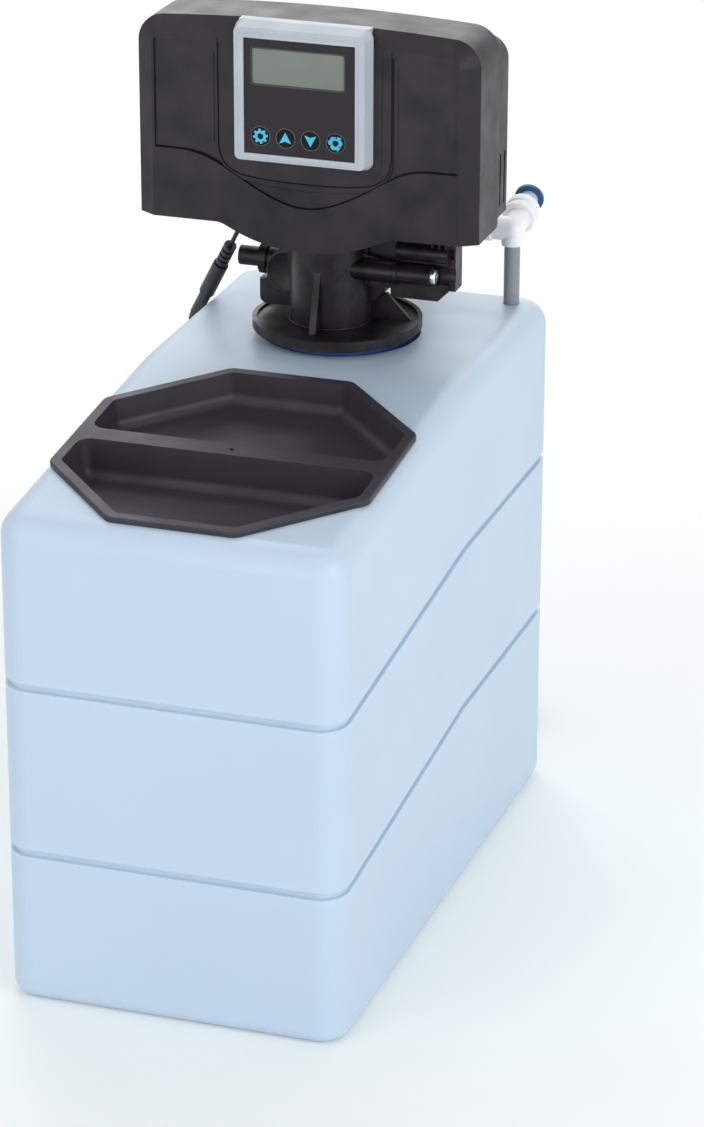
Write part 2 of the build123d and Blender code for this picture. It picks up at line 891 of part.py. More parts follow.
def valve_gussets():
    front = neck_y - neck_radius
    side = polygon([(front + overrun, flange_top_z), (front - gusset_depth, flange_top_z),
                    (front + overrun / 2, flange_top_z + gusset_height),
                    (front + overrun, flange_top_z + gusset_height)])
    gusset = slab_yz(side, valve_x - gusset_thickness / 2, valve_x + gusset_thickness / 2)
    web = polygon([(web_left_x, flange_top_z), (web_right_x, flange_top_z),
                   (web_apex_x, flange_top_z + web_apex_height), (web_left_x, flange_top_z + web_apex_height)])
    return gusset, plate_xz(web, web_y, web_y + web_thickness)


def valve_passages():
    """Water ways between the ports, the riser and the main bore."""
    low = flange_bottom_z - spud_length - overrun
    cuts = [post(riser_radius + slip_gap, 0, tank_center_y, low, riser_top_z + seat_gap)]
    cuts.append(post(passage_radius, 0, tank_center_y, riser_top_z, barrel_z))
    ring = post(top_strainer_radius - strainer_floor, 0, tank_center_y, low, flange_bottom_z)
    cuts.append(ring)
    end = port_rear_y + port_thread_length + overrun
    for x in port_xs:
        cuts.append(bar_y(port_bore, x, port_z, port_bore_front_y, end))
    cuts.append(bar_y(barrel_bore, valve_x, barrel_z, barrel_front_y - overrun, barrel_bore_end_y))
    for x, y in zip(passage_xs, passage_ys):
        cuts.append(post(passage_radius, x, y, port_z, barrel_z))
    return cuts


def shoulder_block():
    """Squared body under the left port."""
    body = block(shoulder_x, port_xs[0], port_front_y, shoulder_back_y, shoulder_bottom_z, shoulder_top_z)
    low_left = body.edges().filter_by(Axis.Y).group_by(Axis.X)[0].sort_by(Axis.Z)[0]
    body = fillet(low_left, shoulder_round)
    upright = body.edges().filter_by(Axis.Z).group_by(Axis.X)[0]
    rise = block(port_xs[0] - port_radius, port_xs[0], port_front_y, shoulder_back_y, shoulder_bottom_z, port_z)
    return chamfer(upright, port_edge) + rise


def injector_boss():
    """What carries the injector: a block, the cap's boss and a web above it."""
    edge = injector_edge
    top = injector_z1 - edge
    body = block(valve_x, injector_boss_x, injector_boss_y0, injector_y1 - edge, injector_z0 + edge, top)
    body += bar_x(cap_boss_radius, cap_y, cap_z, valve_x, cap_boss_end_x)
    high = injector_z1 - boss_web_drop
    web = polygon([(valve_x, high), (cap_boss_end_x, high - boss_web_fall), (cap_boss_end_x, cap_z), (valve_x, cap_z)])
    return body + plate_xz(web, boss_web_y, boss_web_y + boss_web_thickness)


def valve_body():
    body = valve_flange()
    body += post(neck_radius, valve_x, neck_y, flange_top_z, neck_top_z)
    for x in port_xs:
        body += port_barrel(x)
    for piece in valve_gussets():
        body += piece
    half = bridge_width / 2
    barrel_low = barrel_z - barrel_bore
    plate_back = plate_y0 + plate_thickness + barrel_flange_thickness
    body += block(valve_x - half, valve_x + half, plate_back, bridge_back_y, port_z, barrel_low)
    barrel = bar_y(barrel_radius, valve_x, barrel_z, barrel_front_y, barrel_end_y)
    barrel = fillet(barrel.edges().filter_by(GeomType.CIRCLE).group_by(Axis.Y)[-1], barrel_round)
    body += barrel
    body += bar_y(barrel_flange_radius, valve_x, barrel_z, barrel_front_y, barrel_front_y + barrel_flange_thickness)
    body += shoulder_block()
    body += injector_boss()
    body += bar_x(drain_boss_radius, drain_y, drain_z, drain_boss_x, port_xs[0])
    body += bar_x(brine_arm_radius, brine_y, brine_arm_z, port_xs[1], brine_arm_x)
    for cut in valve_passages():
        body -= cut
    body -= bar_x(stem_radius + slip_gap, brine_y, brine_arm_z, brine_arm_x - brine_socket_depth, brine_arm_x + overrun)
    body -= bar_x(drain_thread_radius + slip_gap, drain_y, drain_z, drain_boss_x - overrun, drain_boss_x + drain_nut_width)
    return body


# Meter
turbine_back_y = meter_back_y - meter_ring_width - turbine_end_play


def meter_cage():
    """Ring held in the left port, with spokes and the turbine's pin."""
    x = port_xs[0]
    y0 = meter_back_y - meter_ring_width
    outer = port_bore - bearing_gap
    cage = bar_y(outer, x, port_z, y0, meter_back_y)
    cage -= bar_y(outer - meter_ring_wall, x, port_z, y0 - overrun, meter_back_y + overrun)
    middle = Pos(x, (y0 + meter_back_y) / 2, port_z)
    reach = outer - meter_ring_wall / 2
    for i in range(meter_spokes):
        spoke = Pos(reach / 2, 0, 0) * Box(reach, meter_ring_width, meter_spoke)
        cage += middle * Rot(0, 360 / meter_spokes * i, 0) * spoke
    front = turbine_back_y - turbine_length - turbine_end_play
    cage += bar_y(turbine_pin_radius, x, port_z, front, meter_back_y)
    return cage + bar_y(turbine_pin_head, x, port_z, front - turbine_pin_head_length, front)


def turbine():
    x = port_xs[0]
    y0 = turbine_back_y - turbine_length
    y1 = turbine_back_y
    rotor = bar_y(turbine_hub_radius, x, port_z, y0, y1)
    middle = Pos(x, (y0 + y1) / 2, port_z)
    span = turbine_radius - turbine_pin_radius
    for i in range(turbine_blades):
        blade = Pos(turbine_pin_radius + span / 2, 0, 0) * Box(span, turbine_length, turbine_blade)
        rotor += middle * Rot(0, 360 / turbine_blades * i, 0) * blade
    return rotor - bar_y(turbine_pin_radius + bearing_gap, x, port_z, y0 - overrun, y1 + overrun)


# Piston and seals
stack_start_y = barrel_front_y + end_plug_length


def seal_positions():
    """Front faces of the seals along the bore."""
    return [stack_start_y + i * (seal_width + spacer_width) for i in range(seal_count)]


def piston():
    end = piston_start_y + piston_length
    rod = bar_y(rod_radius, valve_x, barrel_z, rod_front_y, piston_start_y)
    body = rod + bar_y(piston_waist_radius, valve_x, barrel_z, piston_start_y, end)
    pitch = (piston_length - piston_land) / 2
    for i in range(3):
        start = piston_start_y + i * pitch
        body += bar_y(piston_radius, valve_x, barrel_z, start, start + piston_land)
    return body


def seal_rings():
    rings = []
    for y in seal_positions():
        ring = bar_y(barrel_bore - slip_gap, valve_x, barrel_z, y, y + seal_width)
        ring -= bar_y(piston_radius + seal_gap, valve_x, barrel_z, y - overrun, y + seal_width + overrun)
        rings.append(ring)
    return Compound(children=rings)


def spacer_cages():
    cages = []
    for y in seal_positions()[:-1]:
        y0 = y + seal_width
        cage = bar_y(barrel_bore - slip_gap, valve_x, barrel_z, y0, y0 + spacer_width)
        cage -= bar_y(spacer_inner_radius, valve_x, barrel_z, y0 - overrun, y0 + spacer_width + overrun)
        window = Box(4 * barrel_bore, spacer_width / 2, spacer_window_width)
        for i in range(spacer_windows // 2):
            turn = Rot(0, 360 / spacer_windows * i, 0)
            cage -= Pos(valve_x, y0 + spacer_width / 2, barrel_z) * turn * window
        cages.append(cage)
    return Compound(children=cages)


def end_plug():
    y0 = barrel_front_y
    plug = bar_y(barrel_bore - slip_gap, valve_x, barrel_z, y0, y0 + end_plug_length)
    return plug - bar_y(rod_radius + bearing_gap, valve_x, barrel_z, y0 - overrun, y0 + end_plug_length + overrun)


# Gears
def involute(angle):
    """Involute function of a pressure angle in radians."""
    return math.tan(angle) - angle


def gear_face(teeth, module, phase):
    """Spur gear outline with involute flanks; a tooth points at the phase angle, in degrees."""
    pitch = module * teeth / 2
    base = pitch * math.cos(math.radians(pressure_angle))
    root = pitch - dedendum_share * module
    tip = pitch + addendum_share * module
    half = math.pi / (2 * teeth) - gear_backlash / (2 * pitch) + involute(math.radians(pressure_angle))
    points = []
    for i in range(teeth):
        middle = math.radians(phase) + 2 * math.pi * i / teeth
        flank = []
        for radius in (root, pitch, tip):
            lean = involute(math.acos(min(base / radius, 1.0)))
            flank.append((radius, half - lean))
        for radius, width in flank:
            points.append((radius * math.cos(middle - width), radius * math.sin(middle - width)))
        for radius, width in flank[::-1]:
            points.append((radius * math.cos(middle + width), radius * math.sin(middle + width)))
    return polygon(points)


def gear_body(center, teeth, module, phase, y0, width):
    """Toothed disc with its axis along Y."""
    return plate_xz(Pos(*center) * gear_face(teeth, module, phase), y0, y0 + width)


def drive_gear():
    gear = gear_body(drive_center, drive_teeth, gear_module, reduction_angle, drive_gear_y0, drive_gear_width)
    hub_front = wheel_y0 + gear_side_gap
    gear += bar_y(gear_hub_radius, *drive_center, hub_front, drive_gear_y0)
    back = plate_y0 + plate_thickness - seat_gap
    gear += bar_y(journal_radius, *drive_center, drive_gear_y0 + drive_gear_width, back)
    return gear - bar_y(rod_radius + bearing_gap, *drive_center, hub_front - overrun, back + overrun)


def reduction_gear():
    small_phase = reduction_angle + 180 + 180 / small_teeth
    small_y0 = drive_gear_y0 - gear_side_gap
    small_width = drive_gear_width + 2 * gear_side_gap
    gear = gear_body(reduction_center, small_teeth, gear_module, small_phase, small_y0, small_width)
    gear += gear_body(reduction_center, wheel_teeth, train_module, pinion_angle, wheel_y0, wheel_width)
    hub = small_pitch_radius - dedendum_share * gear_module - bearing_gap
    gear += bar_y(hub, *reduction_center, wheel_y0, small_y0)
    end = small_y0 + small_width
    return gear - bar_y(axle_radius + bearing_gap, *reduction_center, wheel_y0 - overrun, end + overrun)


def motor_pinion():
    phase = pinion_angle + 180 + 180 / pinion_teeth
    y0 = wheel_y0 - gear_side_gap
    width = wheel_width + 2 * gear_side_gap
    pinion = gear_body(motor_center, pinion_teeth, train_module, phase, y0, width)
    shaft_end = plate_y0 + plate_thickness + seat_gap
    return pinion + bar_y(motor_shaft_radius, *motor_center, y0 + width, shaft_end + motor_bush_radius)


def drive_plate():
    height = plate_top_z - plate_bottom_z
    face = Pos(0, plate_bottom_z + height / 2) * RectangleRounded(2 * plate_half_width, height, plate_round)
    plate = plate_xz(face, plate_y0, plate_y0 + plate_thickness)
    plate += bar_y(bush_radius, *drive_center, plate_y0 - bush_length, plate_y0)
    plate += bar_y(axle_radius, *reduction_center, axle_front_y, plate_y0)
    plate += bar_y(2 * axle_radius, *reduction_center,
                   drive_gear_y0 + drive_gear_width + 2 * gear_side_gap, plate_y0)
    back = plate_y0 + plate_thickness + overrun
    plate -= bar_y(journal_radius + bearing_gap, *drive_center, plate_y0 - bush_length - overrun, back)
    return plate - bar_y(motor_bush_radius, *motor_center, plate_y0 - overrun, back)


def drive_motor():
    y0 = plate_y0 + plate_thickness
    motor = bar_y(motor_radius, *motor_center, y0, y0 + motor_length)
    motor = fillet(motor.edges().filter_by(GeomType.CIRCLE), motor_round)
    bore = motor_shaft_radius + bearing_gap
    return motor - bar_y(bore, *motor_center, y0 - overrun, y0 + 2 * motor_bush_radius)


# Cover and housing
def cover_outline(inset, with_belly):
    """Front view of the cover: arched top, rounded corners and the belly below."""
    half = cover_half_width - inset
    low = cover_bottom_z + inset
    side_top = cover_top_z - cover_top_arch - inset
    middle_top = cover_top_z - inset
    edge = [
        Line((-half, low), (-half, side_top)),
        ThreePointArc((-half, side_top), (0, middle_top), (half, side_top)),
        Line((half, side_top), (half, low)),
        Line((half, low), (-half, low)),
    ]
    face = make_face(Wire(edge))
    face = fillet(face.vertices().group_by(Axis.Y)[-1], cover_corner_radius - inset)
    if not with_belly:
        return face
    center_z = belly_bottom_z + belly_radius
    disc = Pos(0, center_z) * Circle(belly_radius - inset)
    keep = Pos(0, low - overrun) * Rectangle(2 * half - 2 * belly_blend, 2 * (cover_bottom_z - belly_bottom_z) + overrun)
    face = face + (disc & keep)
    corners = [v for v in face.vertices() if abs(v.Y - low) < slip_gap and abs(v.X) < half - belly_blend]
    return fillet(corners, belly_blend + inset)


def cover_form(inset):
    """Solid of the cover with its bevel round the front, drawn in by a wall."""
    front = cover_front_y + inset
    form = plate_xz(cover_outline(inset, True), front, cover_back_y)
    low = cover_bottom_z + belly_blend
    front_edges = [e for e in form.edges() if e.bounding_box().max.Y < front + slip_gap
                   and e.bounding_box().max.Z > low]
    return chamfer(front_edges, cover_bevel, cover_bevel_depth, reference=form.faces().sort_by(Axis.Y)[0])


def apron_face():
    """Recess of the upper front: its lower edge is the swung line above the apron."""
    half = cover_half_width - cover_bevel - panel_inset
    top = cover_top_z - cover_top_arch - cover_bevel - panel_inset
    run = half * apron_run_share
    middle = (half + run) / 2
    rise = apron_top_z - apron_dip_z
    left = Line((-half, apron_top_z), (-middle, apron_top_z))
    right = Line((middle, apron_top_z), (half, apron_top_z))
    shoulder = run * apron_shoulder_share
    fall = apron_top_z - rise * apron_fall_share
    swing = Spline((-middle, apron_top_z), (-shoulder, fall), (0, apron_dip_z), (shoulder, fall), (middle, apron_top_z),
                   tangents=((1, 0), (1, 0)))
    outer = Polyline((half, apron_top_z), (half, top), (-half, top), (-half, apron_top_z))
    return make_face(Wire([left, swing, right] + outer.edges()))


def bib_face(inset):
    """Rounded field round the control frame."""
    half = bib_half_width - inset
    low = bib_bottom_z + inset
    top = cover_top_z
    face = polygon([(-half, low), (half, low), (half, top), (-half, top)])
    return fillet(face.vertices().group_by(Axis.Y)[0], bib_corner - inset)


def front_cover():
    cover = cover_form(0)
    recess = plate_xz(apron_face(), cover_front_y - overrun, cover_front_y + apron_step)
    bib = plate_xz(bib_face(0), cover_front_y - overrun, cover_front_y + apron_step - bib_step)
    recess -= plate_xz(bib_face(0), cover_front_y - 2 * overrun, cover_front_y + 2 * apron_step)
    bib &= plate_xz(apron_face(), cover_front_y - 2 * overrun, cover_front_y + 2 * apron_step)
    bib -= plate_xz(bib_face(bib_rim), cover_front_y - 2 * overrun, cover_front_y + 2 * apron_step)
    cover -= recess
    cover -= bib
    cavity = cover_form(cover_wall)
    cavity += plate_xz(cover_outline(cover_wall, True), cover_back_y - overrun, cover_back_y + overrun)
    cover -= cavity
    window = frame_window()
    cover -= plate_xz(window, cover_front_y - overrun, board_y)
    neck_room = neck_radius + neck_cut_gap
    slot = post(neck_room, valve_x, neck_y, belly_bottom_z - overrun, cover_bottom_z + 2 * cover_wall)
    cover -= slot
    inner = cover_front_y + cover_wall
    reach = board_half_width - board_post_inset
    for x in (-reach, reach):
        for z in (board_bottom_z + board_post_inset, board_top_z - board_post_inset):
            cover += bar_y(board_post_radius, x, z, inner, board_y)
    return cover


def housing_outline(inset):
    """Rear view of the housing: the cover's outline with its top lowered."""
    outline = cover_outline(inset, False)
    return (Pos(0, -housing_top_drop) * outline) & outline


def rear_housing():
    front = cover_back_y
    inset = housing_inset
    housing = plate_xz(housing_outline(inset), front, housing_back_y)
    housing = fillet(housing.edges().group_by(Axis.Y)[-1], housing_round)
    housing += plate_xz(cover_outline(housing_flange_inset, False), front, front + housing_flange)
    room = plate_xz(housing_outline(inset + housing_wall), front - overrun, housing_back_y - housing_wall)
    housing -= room
    cut = barrel_flange_radius + barrel_cut_gap
    back = plate_y0 + plate_thickness
    housing -= bar_y(cut, valve_x, barrel_z, back, housing_back_y + overrun)
    slot_z = housing_bottom_z + housing_slot_height / 2 + housing_round
    for i in range(housing_slot_count):
        y = back + housing_slot_gap * i
        slot = Box(4 * housing_wall, housing_slot_width, housing_slot_height)
        housing -= Pos(cover_half_width - housing_inset, y, slot_z) * slot
    low = cover_bottom_z - overrun
    housing -= block(valve_x - cut, valve_x + cut, plate_y0, housing_back_y + overrun, low, barrel_z)
    housing -= post(grommet_radius - grommet_groove, grommet_x, grommet_y, low, cover_bottom_z + 4 * housing_wall)
    return housing


# Control frame and panel
def frame_window():
    """Opening in the cover behind the control frame."""
    half = panel_half_width - panel_ledge
    low = panel_bottom_z + panel_ledge
    high = panel_top_z - panel_ledge
    return Pos(0, (low + high) / 2) * Rectangle(2 * half, high - low)


def control_frame():
    depth = cover_front_y - frame_front_y
    draft = math.degrees(math.atan(frame_draft / depth))
    low = frame_bottom_z
    face = Pos(0, (low + frame_top_z) / 2) * RectangleRounded(2 * frame_half_width, frame_top_z - low, frame_corner)
    plane = Plane.XZ.offset(-cover_front_y)
    frame = extrude(plane * face, amount=depth, taper=draft)
    panel_back = frame_front_y + panel_recess
    opening = Pos(0, (panel_bottom_z + panel_top_z) / 2) * Rectangle(
        2 * panel_half_width, panel_top_z - panel_bottom_z)
    frame -= plate_xz(opening, frame_front_y - overrun, panel_back + panel_thickness)
    frame -= plate_xz(frame_window(), frame_front_y - overrun, cover_front_y + overrun)
    shelf = cover_front_y + cover_bevel_depth
    bevel = cover_form(0)
    top = block(-frame_half_width + frame_draft, frame_half_width - frame_draft, cover_front_y, shelf,
                cover_top_z - cover_bevel - cover_top_arch, frame_top_z)
    return frame + (top - bevel)


def button_xs():
    """Places of the four buttons across the panel."""
    return [display_center_x + button_spacing * (i - 1.5) for i in range(4)]


panel_front_y = frame_front_y + panel_recess
panel_back_y = panel_front_y + panel_thickness


def control_panel():
    low = panel_bottom_z + slip_gap
    high = panel_top_z - slip_gap
    half = panel_half_width - slip_gap
    panel = block(-half, half, panel_front_y, panel_back_y, low, high)
    x0 = display_center_x - display_width / 2
    z0 = display_bottom_z
    panel -= block(x0, x0 + display_width, panel_front_y - overrun, panel_back_y + overrun, z0, z0 + display_height)
    for x in button_xs():
        panel -= bar_y(button_radius + button_gap, x, button_z, panel_front_y - overrun, panel_back_y + overrun)
    return panel


def display():
    half = display_width / 2 - slip_gap
    z0 = display_bottom_z + slip_gap
    y0 = panel_front_y + display_recess
    x = display_center_x
    return block(x - half, x + half, y0, y0 + display_thickness, z0, z0 + display_height - 2 * slip_gap)


def button(x):
    front = panel_front_y - button_face_recess
    back = panel_back_y + seat_gap
    cap = bar_y(button_radius, x, button_z, front, back)
    cap = fillet(cap.edges().filter_by(GeomType.CIRCLE).group_by(Axis.Y)[0], button_dish)
    cap += bar_y(button_flange_radius, x, button_z, back, back + button_flange)
    end = board_y - switch_depth - button_travel - switch_clearance
    return cap + bar_y(button_stem_radius, x, button_z, back, end)


def circuit_board():
    board = block(-board_half_width, board_half_width, board_y, board_y + board_thickness, board_bottom_z, board_top_z)
    half = switch_size / 2
    for x in button_xs():
        board += block(x - half, x + half, board_y - switch_depth, board_y, button_z - half, button_z + half)
    back = panel_front_y + display_recess + display_thickness
    x = display_center_x
    half = display_post_size / 2
    reach = display_width / 2 - display_post_size
    z = display_bottom_z + display_height / 2
    for offset in (-reach, reach):
        board += block(x + offset - half, x + offset + half, back, board_y, z - half, z + half)
    return board


# Injector
def injector_housing():
    x0 = injector_boss_x + seat_gap
    x1 = injector_x1 - injector_end_plate
    profile = polygon([(x0, injector_z0), (x1 - injector_chamfer, injector_z0), (x1, injector_z0 + injector_chamfer),
                       (x1, injector_z1 - injector_chamfer / 2), (x1 - injector_chamfer / 2, injector_z1),
                       (x0, injector_z1)])
    body = plate_xz(profile, injector_y0, injector_y1)
    body += bar_x(injector_rib_radius, injector_rib_y, injector_rib_z, cap_boss_end_x + seat_gap, x1)
    plate_low = injector_z0 + injector_chamfer
    body += block(x1, injector_x1, injector_y0 + injector_edge / 2, injector_y1, plate_low, injector_z1)
    body -= bar_x(cap_collar_radius + slip_gap, cap_y, cap_z, x0 - overrun, injector_x1 + overrun)
    web_back = boss_web_y + boss_web_thickness + seat_gap
    body -= block(x0 - overrun, cap_boss_end_x + seat_gap, injector_y0 - overrun, web_back, cap_z, injector_z1 + overrun)
    start = injector_x1 - injector_end_plate - nozzle_length
    return body - bar_x(nozzle_radius + slip_gap, injector_rib_y, injector_rib_z, start, x1 + overrun)


def injector_cap():
    cap = bar_x(cap_collar_radius, cap_y, cap_z, cap_start_x, cap_start_x + cap_collar_width)
    cap += bar_x(cap_nose_radius, cap_y, cap_z, cap_start_x + cap_collar_width, cap_end_x)
    bore = screw_shank_radius + slip_gap
    return cap - bar_x(bore, cap_y, cap_z, cap_end_x - screw_length - seat_gap, cap_end_x + overrun)


def injector_nozzle():
    x1 = injector_x1 - injector_end_plate
    x0 = x1 - nozzle_length + seat_gap
    nozzle = bar_x(nozzle_radius, injector_rib_y, injector_rib_z, x0, x1)
    return nozzle - bar_x(nozzle_radius / 2, injector_rib_y, injector_rib_z, x0 - overrun, x1 + overrun)


def injector_screw():
    screw = bar_x(screw_head_radius, cap_y, cap_z, cap_end_x, cap_end_x + screw_head_height)
    screw = fillet(screw.edges().filter_by(GeomType.CIRCLE).group_by(Axis.X)[-1], screw_head_height / 2)
    screw += bar_x(screw_shank_radius, cap_y, cap_z, cap_end_x - screw_length, cap_end_x)
    end = cap_end_x + screw_head_height
    for long_y, long_z in ((screw_head_radius, screw_cross_width), (screw_cross_width, screw_head_radius)):
        screw -= Pos(end, cap_y, cap_z) * Box(2 * screw_cross_depth, long_y, long_z)
    return screw


# Drain
def drain_nut():
    x0 = drain_boss_x - drain_nut_width
    nut = bar_x(drain_nut_radius, drain_y, drain_z, x0, drain_boss_x)
    for i in range(drain_flats):
        turn = Rot(360 / drain_flats * i, 0, 0)
        notch = Pos(0, drain_nut_radius, 0) * Box(3 * drain_nut_width, 2 * drain_flat_depth, 2 * drain_flat_depth)
        nut -= Pos((x0 + drain_boss_x) / 2, drain_y, drain_z) * turn * notch
    return nut - bar_x(drain_thread_radius + slip_gap, drain_y, drain_z, x0 - overrun, drain_boss_x + overrun)


def drain_spigot():
    x_in = drain_boss_x + drain_nut_width - seat_gap
    x_nut = drain_boss_x - drain_nut_width
    spigot = bar_x(drain_spigot_radius, drain_y, drain_z, drain_spigot_end_x, x_nut)
    spigot += bar_x(drain_thread_radius, drain_y, drain_z, x_nut, x_in)
    return spigot - bar_x(drain_bore, drain_y, drain_z, drain_spigot_end_x - overrun, x_in + overrun)


# Brine elbow
def elbow_plane():
    """Plane at the bend, facing back and up along the rear arm."""
    tilt = math.radians(elbow_tilt)
    return Plane(origin=(elbow_x, brine_y, brine_arm_z), x_dir=(1, 0, 0), z_dir=(0, math.cos(tilt), math.sin(tilt)))


def brine_elbow():
    x0 = elbow_x - elbow_left_reach
    plane = elbow_plane()
    end = elbow_back_reach
    body = bar_x(elbow_radius, brine_y, brine_arm_z, x0, elbow_x)
    body += Pos(elbow_x, brine_y, brine_arm_z) * Sphere(elbow_radius)
    body += along(plane, elbow_radius, 0, end)
    waist_start = end - 2 * elbow_collar_length - elbow_waist_length
    body += along(plane, elbow_waist_radius, waist_start, end)
    for start in (waist_start, end - elbow_collar_length):
        collar = along(plane, elbow_collar_radius, start, start + elbow_collar_length)
        body += fillet(collar.edges().filter_by(GeomType.CIRCLE), elbow_collar_round)
    socket_z = brine_arm_z - elbow_socket_length
    tube_top = brine_arm_z - elbow_radius
    body += post(elbow_socket_radius, elbow_x, brine_y, socket_z, brine_arm_z)
    body -= post(brine_tube_radius + slip_gap, elbow_x, brine_y, socket_z - overrun, tube_top)
    body -= post(brine_tube_bore, elbow_x, brine_y, tube_top - overrun, brine_arm_z)
    inner = end - collet_depth - collet_travel
    body -= along(plane, collet_radius + seat_gap, inner, end + overrun)
    body -= along(plane, brine_tube_bore, 0, inner)
    body -= bar_x(brine_tube_bore, brine_y, brine_arm_z, x0, elbow_x)
    body -= bar_x(stem_radius + slip_gap, brine_y, brine_arm_z, x0 - overrun, x0 + elbow_nut_length)
    return body


def elbow_nut():
    x0 = elbow_x - elbow_left_reach - elbow_nut_length
    x1 = elbow_x - elbow_left_reach
    nut = bar_x(elbow_nut_radius, brine_y, brine_arm_z, x0, x1)
    nut = fillet(nut.edges().filter_by(GeomType.CIRCLE), elbow_collar_round)
    return nut - bar_x(stem_radius + slip_gap, brine_y, brine_arm_z, x0 - overrun, x1 + overrun)


def brine_stem():
    x0 = brine_arm_x - brine_socket_depth + seat_gap
    x1 = elbow_x - elbow_left_reach + elbow_nut_length - seat_gap
    stem = bar_x(stem_radius, brine_y, brine_arm_z, x0, x1)
    return stem - bar_x(stem_bore, brine_y, brine_arm_z, x0 - overrun, x1 + overrun)


def release_collet():
    plane = elbow_plane()
    end = elbow_back_reach
    flange_end = end + collet_out + collet_flange
    sleeve = along(plane, collet_radius, end - collet_depth, end + collet_out)
    sleeve += along(plane, collet_flange_radius, end + collet_out, flange_end)
    return sleeve - along(plane, collet_bore, end - collet_depth - overrun, flange_end + overrun)


# Leads
def unit(start, end):
    """Direction from one point to another."""
    return (Vector(*end) - Vector(*start)).normalized()


def along(plane, radius, start, end):
    """Round bar along a plane's normal."""
    return extrude(plane.offset(start) * Circle(radius), amount=end - start)


def connector_plane():
    """Plane at the top of the in-line connector, facing down it."""
    return Plane(origin=connector_top, z_dir=unit(connector_top, connector_end))


def connector_length():
    return (Vector(*connector_end) - Vector(*connector_top)).length


def lead_socket():
    plane = connector_plane()
    body = along(plane, relief_core_radius, 0, relief_length)
    step = relief_length / relief_ribs
    for i in range(relief_ribs):
        body += along(plane, relief_radius, i * step, (i + 1) * step - relief_rib_gap)
    barrel = along(plane, socket_radius, relief_length, relief_length + socket_length)
    barrel = fillet(barrel.edges().filter_by(GeomType.CIRCLE), relief_rib_gap / 2)
    return body + barrel


def lead_plug():
    plane = connector_plane()
    start = relief_length + socket_length
    end = connector_length()
    body = along(plane, plug_radius, start, end - plug_tip_length)
    tip = loft([plane.offset(end - plug_tip_length) * Circle(plug_radius), plane.offset(end) * Circle(plug_tip_radius)])
    return body + tip


def cord_radii(points):
    """Fillet radius for each corner of a route, from its two runs and its turn."""
    radii = []
    for before, here, after in zip(points, points[1:], points[2:]):
        first = Vector(*here) - Vector(*before)
        second = Vector(*after) - Vector(*here)
        turn = math.radians(first.get_angle(second))
        radii.append(route_bend_share * min(first.length, second.length) / math.tan(turn / 2))
    return radii


def cord_tube(name, points, radius):
    """Round tube along straight runs joined by tangent arcs."""
    radii = cord_radii(points)
    path = FilletPolyline(*points, radius=radii)
    section = Plane(origin=path @ 0, z_dir=path % 0) * Circle(radius)
    tube = sweep(section, path=path)
    share = tube.volume / (math.pi * radius ** 2 * path.length)
    print(name, "length", round(path.length, 1), "radii", [round(r, 1) for r in radii], "volume share", round(share, 4))
    return tube


def coil_route():
    """Half turns spiralling in on the floor, one that climbs, and half turns spiralling out on top."""
    low = cord_points[-1][2]
    high = tail_points[0][2]
    start = Vector(coil_center_x, cord_points[-1][1], low)
    edges = [Line(cord_points[-1], start)]
    here = start
    side = -1
    radius = coil_outer_radius
    for _ in range(coil_half_turns):
        there = here + Vector(0, 2 * radius * side, 0)
        middle = (here + there) * 0.5 + Vector(-side * radius, 0, 0)
        edges.append(ThreePointArc(here, middle, there))
        here = there
        side = -side
        radius -= coil_pitch / 2
    rise = high - low
    bulge = math.sqrt(radius ** 2 + rise ** 2 / 4)
    there = here + Vector(0, 2 * radius * side, rise)
    joint = (here + there) * 0.5 + Vector(-side * bulge, 0, 0)
    first = TangentArc(here, joint, tangent=(-side, 0, 0))
    edges.append(first)
    edges.append(TangentArc(joint, there, tangent=first % 1))
    here = there
    side = -side
    for _ in range(coil_half_turns - 1):
        radius += coil_pitch / 2
        there = here + Vector(0, 2 * radius * side, 0)
        middle = (here + there) * 0.5 + Vector(-side * radius, 0, 0)
        edges.append(ThreePointArc(here, middle, there))
        here = there
        side = -side
    edges.append(Line(here, tail_points[0]))
    return Wire(edges)


def least_self_gap(wire, radius):
    """Smallest gap of a wound tube to itself, from points along its line."""
    count = 360
    points = [wire @ (i / count) for i in range(count + 1)]
    step = wire.length / count
    skip = int(4 * radius / step) + 2
    least = wire.length
    for i in range(count + 1):
        for j in range(i + skip, count + 1):
            least = min(least, (points[i] - points[j]).length)
    return least - 2 * radius


def adaptor_coil():
    wire = coil_route()
    section = Plane(origin=wire @ 0, z_dir=wire % 0) * Circle(cord_radius)
    tube = sweep(section, path=wire)
    share = tube.volume / (math.pi * cord_radius ** 2 * wire.length)
    print("adaptor_coil length", round(wire.length, 1), "self gap", round(least_self_gap(wire, cord_radius), 2),
          "volume share", round(share, 4))
    return tube


def mains_adaptor():
    x0 = adaptor_x0
    x1 = x0 + adaptor_length
    y0 = adaptor_y - adaptor_width / 2
    y1 = adaptor_y + adaptor_width / 2
    z0 = adaptor_lift
    body = block(x0, x1, y0, y1, z0, z0 + adaptor_height)
    body = fillet(body.edges(), adaptor_round)
    start = tail_points[-1]
    relief = loft([Plane.YZ.offset(start[0]) * Pos(start[1], start[2]) * Circle(cord_radius + seat_gap),
                   Plane.YZ.offset(x0 + adaptor_round) * Pos(adaptor_y, adaptor_lead_z) * Circle(adaptor_relief_radius)])
    body += relief
    pin_x = x1 - adaptor_width / 2
    top = z0 + adaptor_height
    body += post(adaptor_width / 3, pin_x, adaptor_y, top - adaptor_round, top + adaptor_boss_height)
    for side in (-1, 1):
        y = adaptor_y + side * adaptor_pin_spacing / 2
        body += post(adaptor_pin_radius, pin_x, y, top, top + adaptor_boss_height + adaptor_pin_length)
    return body


